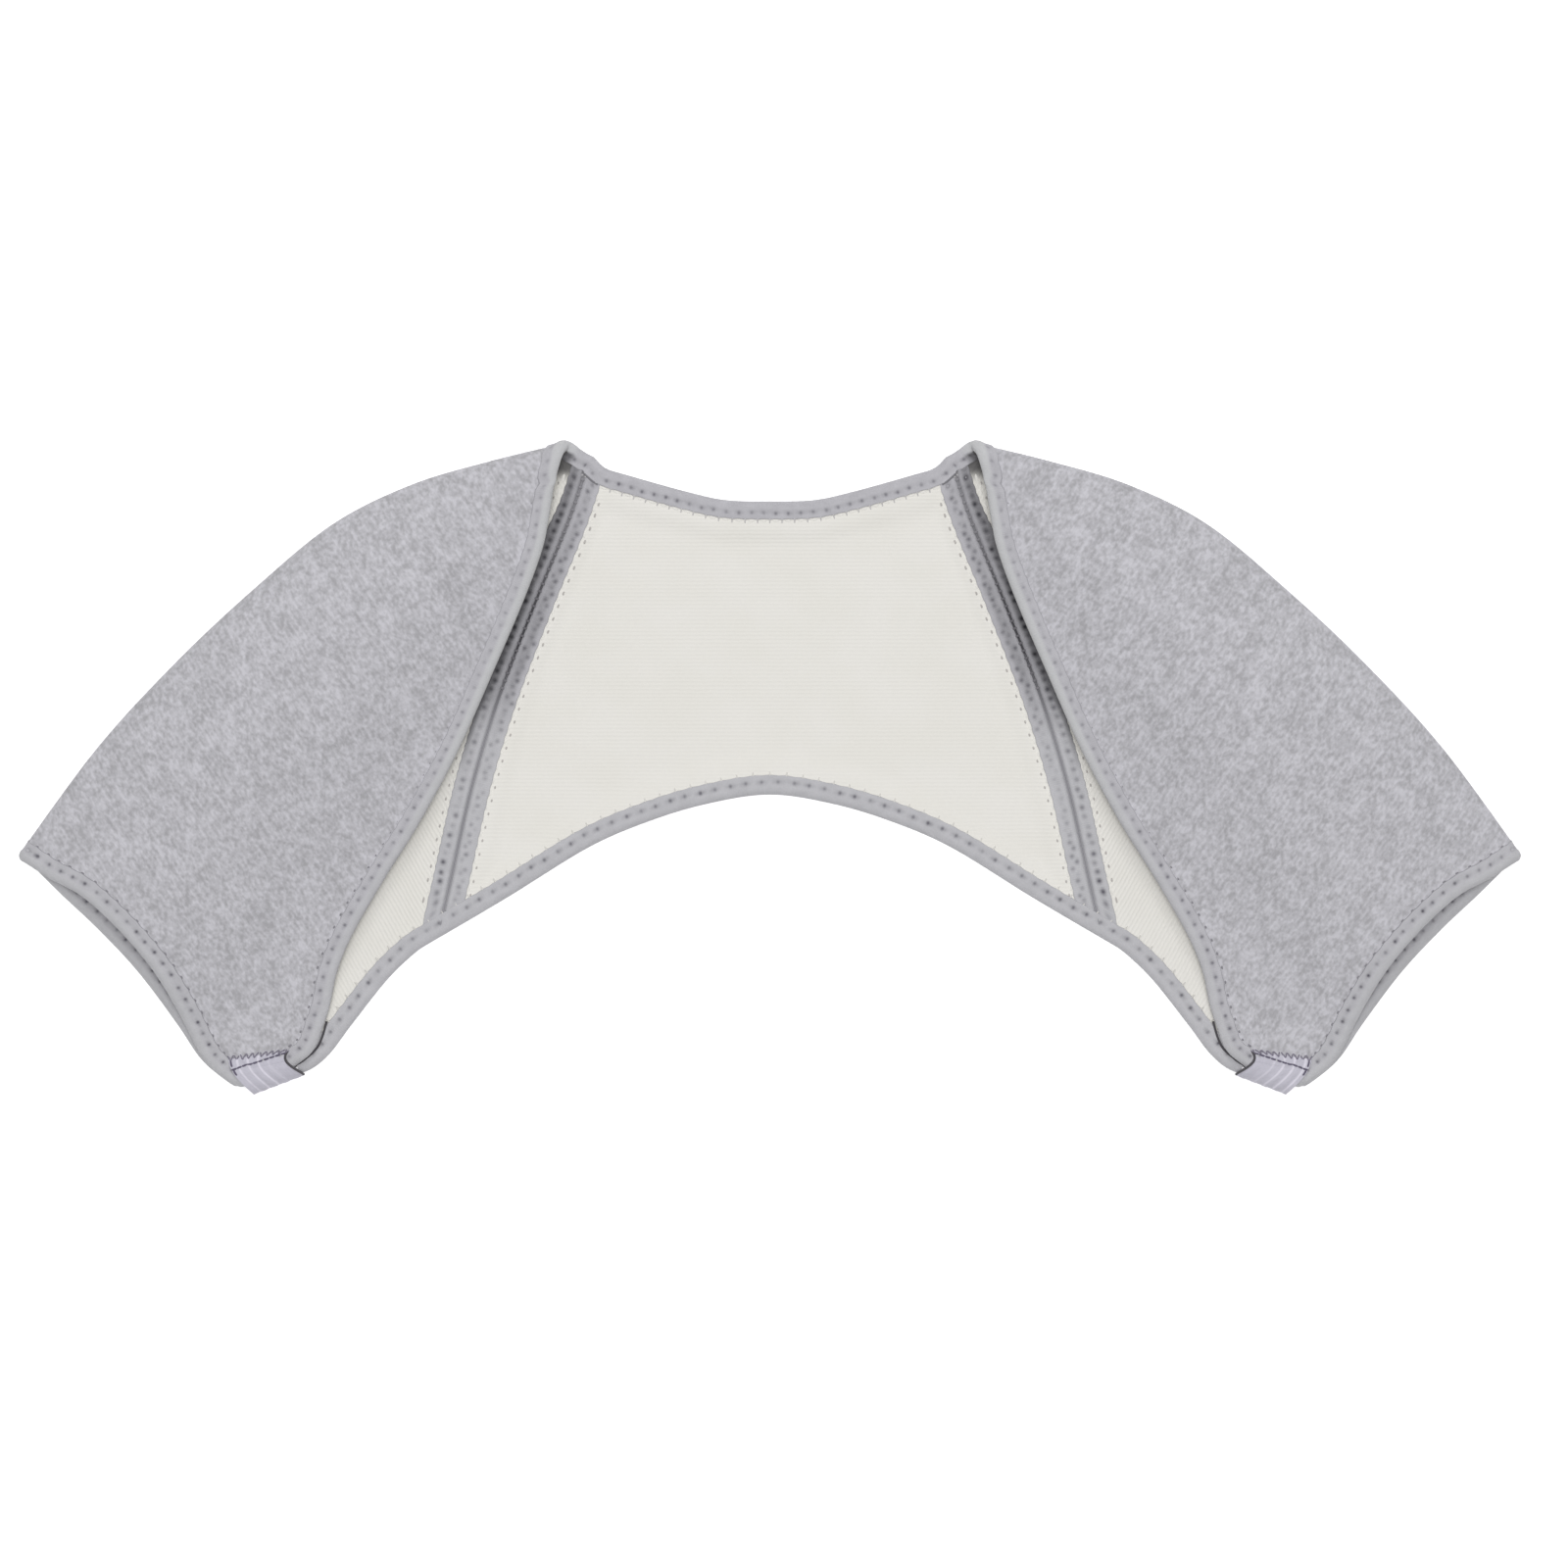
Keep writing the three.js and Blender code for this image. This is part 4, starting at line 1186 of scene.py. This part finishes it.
stitch_pieces = {}
for node, mirrored, path, sizes, look, stitching in BINDINGS:
    points, faces, uv, marks = tape_mesh(path, sizes, **look)
    made = add_mesh(f"{node}_tape", points, faces, uv, TAPE, mirrored, marks)
    pieces[node] = dress(made, node)
    stitch_pieces[node] = [
        add_thread(f"{node}_{kind.__name__}", kind(path, sizes, spans), thread, mirrored)
        for kind, thread, spans in stitching
    ]


# Elastic band under each arm: ends of its two sides, from where it is sewn on to its lowest fold

ELASTIC_TOPS = np.array([(230, -123.8), (204.3, -120.3)])
ELASTIC_FOLDS = np.array([(219.6, -139), (198, -130.8)])
ELASTIC_WIDTH = 26
ELASTIC_THICKNESS = 1.2
ELASTIC_BEND = 5
ELASTIC_FLOOR_GAP = 0.1
ELASTIC_TOP_RISE = 1.4
ELASTIC_COLUMNS = 61
ELASTIC_FLAT_ROWS = 21
ELASTIC_BEND_ROWS = 25

# How far the band bows to the side, and how it is seated on the knit and the tapes near its sewn end
ELASTIC_BOWS = (2.0, 3.8)
ELASTIC_BOW_POWER = 0.85
ELASTIC_SEAT = 0.12
ELASTIC_SQUASH = 0.6
SEATED_SPAN = (2, 9)
TIP_TAPE_RISE = (0.95, 7, 8.2)
TIP_GRID = (np.linspace(0.45, 1, 150), np.linspace(0.85, 1, 150))

# Row of stitches near the sewn end, gathers and dip beside it, ridges below it
SEWN_RUNS = (5.0, 1.2)
GATHER = 0.15
GATHER_COUNT = 6.5
GATHER_SPREAD = 2.2
SEWN_DIP = 0.3
SEWN_DIP_SPREAD = 0.6
RIDGE = 0.2
RIDGE_COUNT = 4.6
RIDGE_TOP = 0.1
RIDGE_START = (6, 9)
RIBBED_END = (0.5, 0.8)


def resting_height(plan):
    """Height of the knit, and of the tapes on it, below points near the sleeve's tip."""
    share, along = np.meshgrid(*TIP_GRID, indexing="ij")
    tops = layer(True, share, along)
    depth = np.minimum((1 - share) * layer_width(True, along), (1 - along) * FOLD_LENGTH)
    tops[..., 2] += WALL / 2 + falling(depth, *TIP_TAPE_RISE)
    tops = tops.reshape(-1, 3)
    return np.array([tops[((tops[None, :, :2] - row[:, None]) ** 2).sum(-1).argmin(1), 2] for row in plan])


def elastic_skin(wide, grow):
    """A skin of the band, from its sewn end over the top, round the lowest fold and back below."""
    inner_high = SLEEVE_SECTIONS[-1, 4] + TAPE_TOP + FIT_GAP
    centre = (ELASTIC_FLOOR_GAP + ELASTIC_THICKNESS + inner_high) / 2
    rise = inner_high - centre + grow
    tops = lerp(*ELASTIC_TOPS, wide[:, None])
    ways = lerp(*ELASTIC_FOLDS, wide[:, None]) - tops
    lengths = np.linalg.norm(ways, axis=1)[:, None]
    bend_start = lengths - ELASTIC_BEND - ELASTIC_THICKNESS
    flat = np.linspace(0, 1, ELASTIC_FLAT_ROWS + 1)[:-1]
    angles = np.linspace(math.pi / 2, -math.pi / 2, ELASTIC_BEND_ROWS)
    bend = bend_start + (ELASTIC_BEND + grow) * np.cos(angles)
    run = np.concatenate([bend_start * flat, bend, bend_start * flat[::-1]], 1)
    top = centre + rise + ELASTIC_TOP_RISE * (1 - flat)
    height = np.concatenate([top, centre + rise * np.sin(angles), np.full(len(flat), centre - rise)])
    height = np.tile(height, (len(wide), 1))
    plan = tops[:, None] + (ways / lengths)[:, None] * run[..., None]
    bow = np.sin(math.pi * np.clip(run / (lengths - 1), 0, 1) ** ELASTIC_BOW_POWER)
    plan[..., 0] += bow * lerp(*ELASTIC_BOWS, wide)[:, None]
    upper = (slice(None), slice(len(flat)))
    seated = resting_height(plan[upper]) + ELASTIC_SEAT + grow * ELASTIC_SQUASH
    height[upper] = lerp(height[upper], seated, 1 - smoothstep(run[upper], *SEATED_SPAN))
    return raised(plan, height)


def elastic_mesh():
    """The band's mesh with its marks, and its outer skin, outward directions and runs for the stitches."""
    wide = np.linspace(0, 1, ELASTIC_COLUMNS)
    outer, inner = (elastic_skin(wide, grow) for grow in (ELASTIC_THICKNESS, 0))
    travel = run_along(outer, 1)
    past_row = travel - lerp(*SEWN_RUNS, wide)[:, None]
    gathers = GATHER * np.sin(2 * math.pi * GATHER_COUNT * wide)[:, None]
    swell = gathers * bell(past_row, 0, GATHER_SPREAD) - SEWN_DIP * bell(past_row, 0, SEWN_DIP_SPREAD)
    ridge = RIDGE * np.cos(2 * math.pi * RIDGE_COUNT * wide)[:, None] * smoothstep(travel, *RIDGE_START)
    upper = np.arange(outer.shape[1]) <= ELASTIC_FLAT_ROWS + ELASTIC_BEND_ROWS // 2
    outward = unit(outer - inner)
    outer = outer + outward * ((swell + np.minimum(ridge, RIDGE_TOP)) * upper)[..., None]
    uv = np.stack(np.broadcast_arrays((wide * ELASTIC_WIDTH)[:, None], travel), -1)
    ribbed = np.broadcast_to((1 - smoothstep(wide, *RIBBED_END))[:, None], travel.shape)
    points = np.concatenate([outer, inner])
    faces = wall_faces(*travel.shape)[:, ::-1]
    marks = dict(ribbed=np.concatenate([ribbed, ribbed]))
    return (points, faces, np.concatenate([uv, uv]), marks), outer, outward, travel


# Threads on the band: dashes by columns and lines of its grid, loops at its sewn end, and a dark thread
# along its closed side that is partly painted shadow
DASH_SINK = np.array([-0.35, 0.05, 0.16, 0.18, 0.16, 0.05, -0.35])
DASH_COLUMNS = 5.2
SIDE_DASH_STARTS = np.array([2.2, 9.68])
SIDE_DASH_COLUMN = 2.0
SIDE_DASH_LINES = 5
LOOP_RUN = np.array([-1.0, -0.5, 0.1, 0.7, 1.2])[:, None]
LOOP_RISE = np.array([-0.2, 0.2, 0.05, -0.5, -0.95])[:, None]
LOOP_LEAN = np.array([0, 0.25, 0.55, 0.85, 1.2])[:, None]
SIDE_LINES = slice(1, 31)
SIDE_LIFT = 0.12


def sampled(grid, column, line):
    """Values between the columns and lines of a grid."""
    c = np.clip(np.floor(column).astype(int), 0, grid.shape[0] - 2)
    r = np.clip(np.floor(line).astype(int), 0, grid.shape[1] - 2)
    over, down = (column - c)[..., None], (line - r)[..., None]
    return lerp(lerp(grid[c, r], grid[c + 1, r], over), lerp(grid[c, r + 1], grid[c + 1, r + 1], over), down)


def elastic_stitches(outer, outward, travel):
    """Dashes in two rows over the band: one near its sewn end and one down its outer side."""
    last = len(outer) - 1
    columns = np.linspace(1, last - 1, 60)
    lines = np.arange(travel.shape[1])
    row = [np.interp(lerp(*SEWN_RUNS, place / last), travel[int(place)], lines) for place in columns]
    dash = np.linspace(0, 1, len(DASH_SINK))
    end_columns = np.linspace(0.5, last - 5.5, num=10)[:, None] + dash * DASH_COLUMNS
    side_lines = SIDE_DASH_STARTS[:, None] + dash * SIDE_DASH_LINES
    column = np.concatenate([end_columns, np.full(side_lines.shape, SIDE_DASH_COLUMN)])
    line = np.concatenate([np.interp(end_columns, columns, row), side_lines])
    normals = unit(sampled(outward, column, line))
    return tube(sampled(outer, column, line) + normals * DASH_SINK[:, None], normals, radius=0.42)


def elastic_loops(outer):
    """Loops of thread from the band's sewn end onto the knit."""
    picks = np.linspace(2, len(outer) - 3, num=10).astype(int)
    start = outer[picks, 0]
    way = unit(start - outer[picks, 3])[:, None]
    lean = unit(outer[picks + 1, 0] - outer[picks - 1, 0])[:, None] * LOOP_LEAN
    straight = start[:, None] + way * LOOP_RUN + UP * LOOP_RISE
    return upright_tube(np.concatenate([straight - lean, straight + lean]), radius=0.28)


def elastic_edge(outer, outward):
    """A dark thread along the band's inner side, down to its lowest fold: partly the thread that closes it,
    partly painted shadow of the gap under it.
    """
    normals = outward[None, -1, SIDE_LINES]
    return tube(outer[None, -1, SIDE_LINES] + normals * SIDE_LIFT, normals, radius=0.55)


(points, faces, uv, marks), outer, outward, travel = elastic_mesh()
ELASTIC_THREADS = (
    ("stitches", elastic_stitches(outer, outward, travel), BAND_THREAD),
    ("loops", elastic_loops(outer), BAND_LOOP),
    ("edge", elastic_edge(outer, outward), THREAD_AND_SHADOW_LINE),
)
for hand, mirrored in HANDS:
    node = f"underarm_elastic_{hand}"
    made = add_mesh(f"{node}_band", points, faces, uv, ELASTIC, mirrored, marks)
    pieces[node] = dress(made, node)
    stitch_pieces[node] = [
        add_thread(f"{node}_{kind}", mesh, thread, mirrored)
        for kind, mesh, thread in ELASTIC_THREADS
    ]


# Threads of the seam between the two tapes, and at its ends dark threads that are painted shadow lines

SEAM_TOP = WALL / 2 + EDGE_LIFT
LOWER_SEAM = (45, 10)
CORE_SHARES = np.linspace(0.004, 0.994, 160)
THREAD_SHARES = np.linspace(0.42, 0.99, 120)
TOP_PALE = (0.5, 60, 126)
LOWER_PALE = (0.9, 45, 12)
FOOT_PALE = (0.1, -20, -60)
SEAM_LOOP_SPAN = (0.045, 0.5)
SEAM_LOOP_STEP = 3.4
SEAM_LOOP_REACH = 0.75
SEAM_LOOP_HEIGHTS = TAPE_TOP + np.array([-0.95, -0.6, -0.62, -0.65, -0.62, -0.6, -0.95])
CROSSING_SHADOW_RUN = (2.6, 10.4)
CONTACT_SHADOW_LINE = [
    (188.6, -107.9), (190.4, -114.2), (192.9, -119.4), (197.9, -124),
    (203.2, -128), (202.4, -130.2), (199.4, -130.6),
]
CONTACT_SHADOW_HEIGHT = SEAM_TOP + TIP_LIFT + 2.45


def groove_thread(shares, heights, radius, sides=5):
    """A thread in the groove, at one height on the upper half of the seam and another on the lower half."""
    plan = Line(SEAM_LINE).at(shares)
    height = SEAM_TOP + lerp(*heights, smoothstep(plan[:, 1], *LOWER_SEAM))
    return upright_tube(raised(plan, height)[None], radius, sides)


def seam_loops():
    """Loops over the groove on the upper half."""
    line = Line(SEAM_LINE)
    start, end = SEAM_LOOP_SPAN
    places = np.arange(start * line.length, end * line.length, SEAM_LOOP_STEP) / line.length
    reach = np.linspace(-SEAM_LOOP_REACH, SEAM_LOOP_REACH, len(SEAM_LOOP_HEIGHTS))
    plan = line.at(places)[:, None] + left_of(line.at, places, 1e-3)[:, None] * reach[:, None]
    return upright_tube(raised(plan, SEAM_TOP + SEAM_LOOP_HEIGHTS), radius=0.5)


def crossing_shadow():
    """A dark thread painted as the shadow line where the neckline's tape crosses the back's seam tape."""
    run = half_run + np.linspace(*CROSSING_SHADOW_RUN, 12)
    leg = neck_path.at(run, inwards=NECK_TAPE["width"] + 0.2, outwards=-2.2)
    return upright_tube(leg[None] * MIRROR, radius=0.4)


def tack():
    """A dark thread painted as the contact shadow where the front edge lies on the hem beside the elastic.
    """
    plan = Line(CONTACT_SHADOW_LINE).at(np.linspace(0, 1, 50))
    return upright_tube(raised(plan, CONTACT_SHADOW_HEIGHT)[None], radius=0.5)


def seam_foot_mark(y):
    """How pale the seam's threads are, up the plan: a little at the top, most on the lower half; where they
    stay dark, above the lower half, their colour is partly their own and partly painted shade of the groove
    under the front flap.
    """
    return np.maximum(rising(y, *TOP_PALE), rising(y, *LOWER_PALE) + rising(y, *FOOT_PALE))


SEAM_THREADS = (
    ("seam_core", groove_thread(CORE_SHARES, heights=(1.25, 1.6), radius=0.55, sides=8), SEAM_CORE),
    ("seam_thread", groove_thread(THREAD_SHARES, heights=(1.7, 2.1), radius=0.24), SEAM_THREAD),
    ("seam_loops", seam_loops(), SEAM_LOOP),
    ("crossing_shadow", crossing_shadow(), SEAM_THREAD),
    ("tack", tack(), THREAD_AND_SHADOW_LINE),
)
seam_pieces = {}
for hand, mirrored in HANDS:
    seam_pieces[hand] = []
    for kind, mesh, thread in SEAM_THREADS:
        marks = dict(foot=seam_foot_mark(mesh[0][:, 1]))
        seam_pieces[hand].append(add_thread(f"{kind}_{hand}", mesh, thread, mirrored, marks))


# Lists of the trim pieces: the whole ones and those of each side
whole_trim = [pieces["neckline_binding"], pieces["hem_binding"]]
whole_trim += stitch_pieces["neckline_binding"] + stitch_pieces["hem_binding"]
for hand, _ in HANDS:
    trim = []
    for node in (f"cuff_binding_{hand}", f"sleeve_seam_binding_{hand}", f"back_seam_binding_{hand}"):
        trim += [pieces[node]] + stitch_pieces[node]
    trim += seam_pieces[hand]


# Stage, light and camera, in metres; the view is the photograph's, by its pixels

FLOOR_REACH = 6.0
FLOOR_LOOK = {
    "Base Color": (0.86, 0.86, 0.86, 1), "Roughness": 0.9, "Specular IOR Level": 0,
    "Emission Color": (1, 1, 1, 1), "Emission Strength": 0.45,
}
WORLD_STRENGTH = 0.26
PIXEL_MM = 0.41694
PHOTO_PIXELS = 1600
ORIGIN_PIXEL = (785.6, 783.5)
VIEW_WIDTH = PHOTO_PIXELS * PIXEL_MM * MM
VIEW_X = (PHOTO_PIXELS / 2 - ORIGIN_PIXEL[0]) * PIXEL_MM * MM
VIEW_Y = (ORIGIN_PIXEL[1] - PHOTO_PIXELS / 2) * PIXEL_MM * MM
CAMERA_HEIGHT = 4.0
SILHOUETTE_HEIGHT = 0.008
SENSOR = 36


def floor():
    mesh = bpy.data.meshes.new("floor")
    corners = [(x * FLOOR_REACH, y * FLOOR_REACH, 0) for x, y in ((-1, -1), (1, -1), (1, 1), (-1, 1))]
    mesh.from_pydata(corners, [], [(0, 1, 2, 3)])
    paint = bpy.data.materials.new("white_floor")
    paint.use_nodes = True
    for name, value in FLOOR_LOOK.items():
        paint.node_tree.nodes["Principled BSDF"].inputs[name].default_value = value
    mesh.materials.append(paint)
    add_object("floor", mesh)


def lamp(name, energy, size, y, z):
    """A square lamp over the middle line that looks at the origin."""
    light = bpy.data.lights.new(name, "AREA")
    light.shape = "SQUARE"
    light.size = size
    light.energy = energy
    made = add_object(name, light)
    made.location = (0, y, z)
    made.rotation_euler = (math.atan2(y, z), 0, math.pi if y else 0)


def camera():
    lens = bpy.data.cameras.new("camera")
    lens.sensor_width = SENSOR
    lens.lens = SENSOR * (CAMERA_HEIGHT - SILHOUETTE_HEIGHT) / VIEW_WIDTH
    lens.clip_end = 50
    made = add_object("camera", lens)
    made.location = (VIEW_X, VIEW_Y, CAMERA_HEIGHT)
    bpy.context.scene.camera = made


floor()
lamp("overhead", energy=171, size=1.8, y=0, z=5.2)
lamp("key", energy=36, size=1.6, y=2.6, z=3.1)
world = bpy.data.worlds.new("studio")
world.use_nodes = True
world.node_tree.nodes["Background"].inputs["Color"].default_value = (1, 1, 1, 1)
world.node_tree.nodes["Background"].inputs["Strength"].default_value = WORLD_STRENGTH
bpy.context.scene.world = world
bpy.context.scene.view_settings.view_transform = "Standard"
camera()
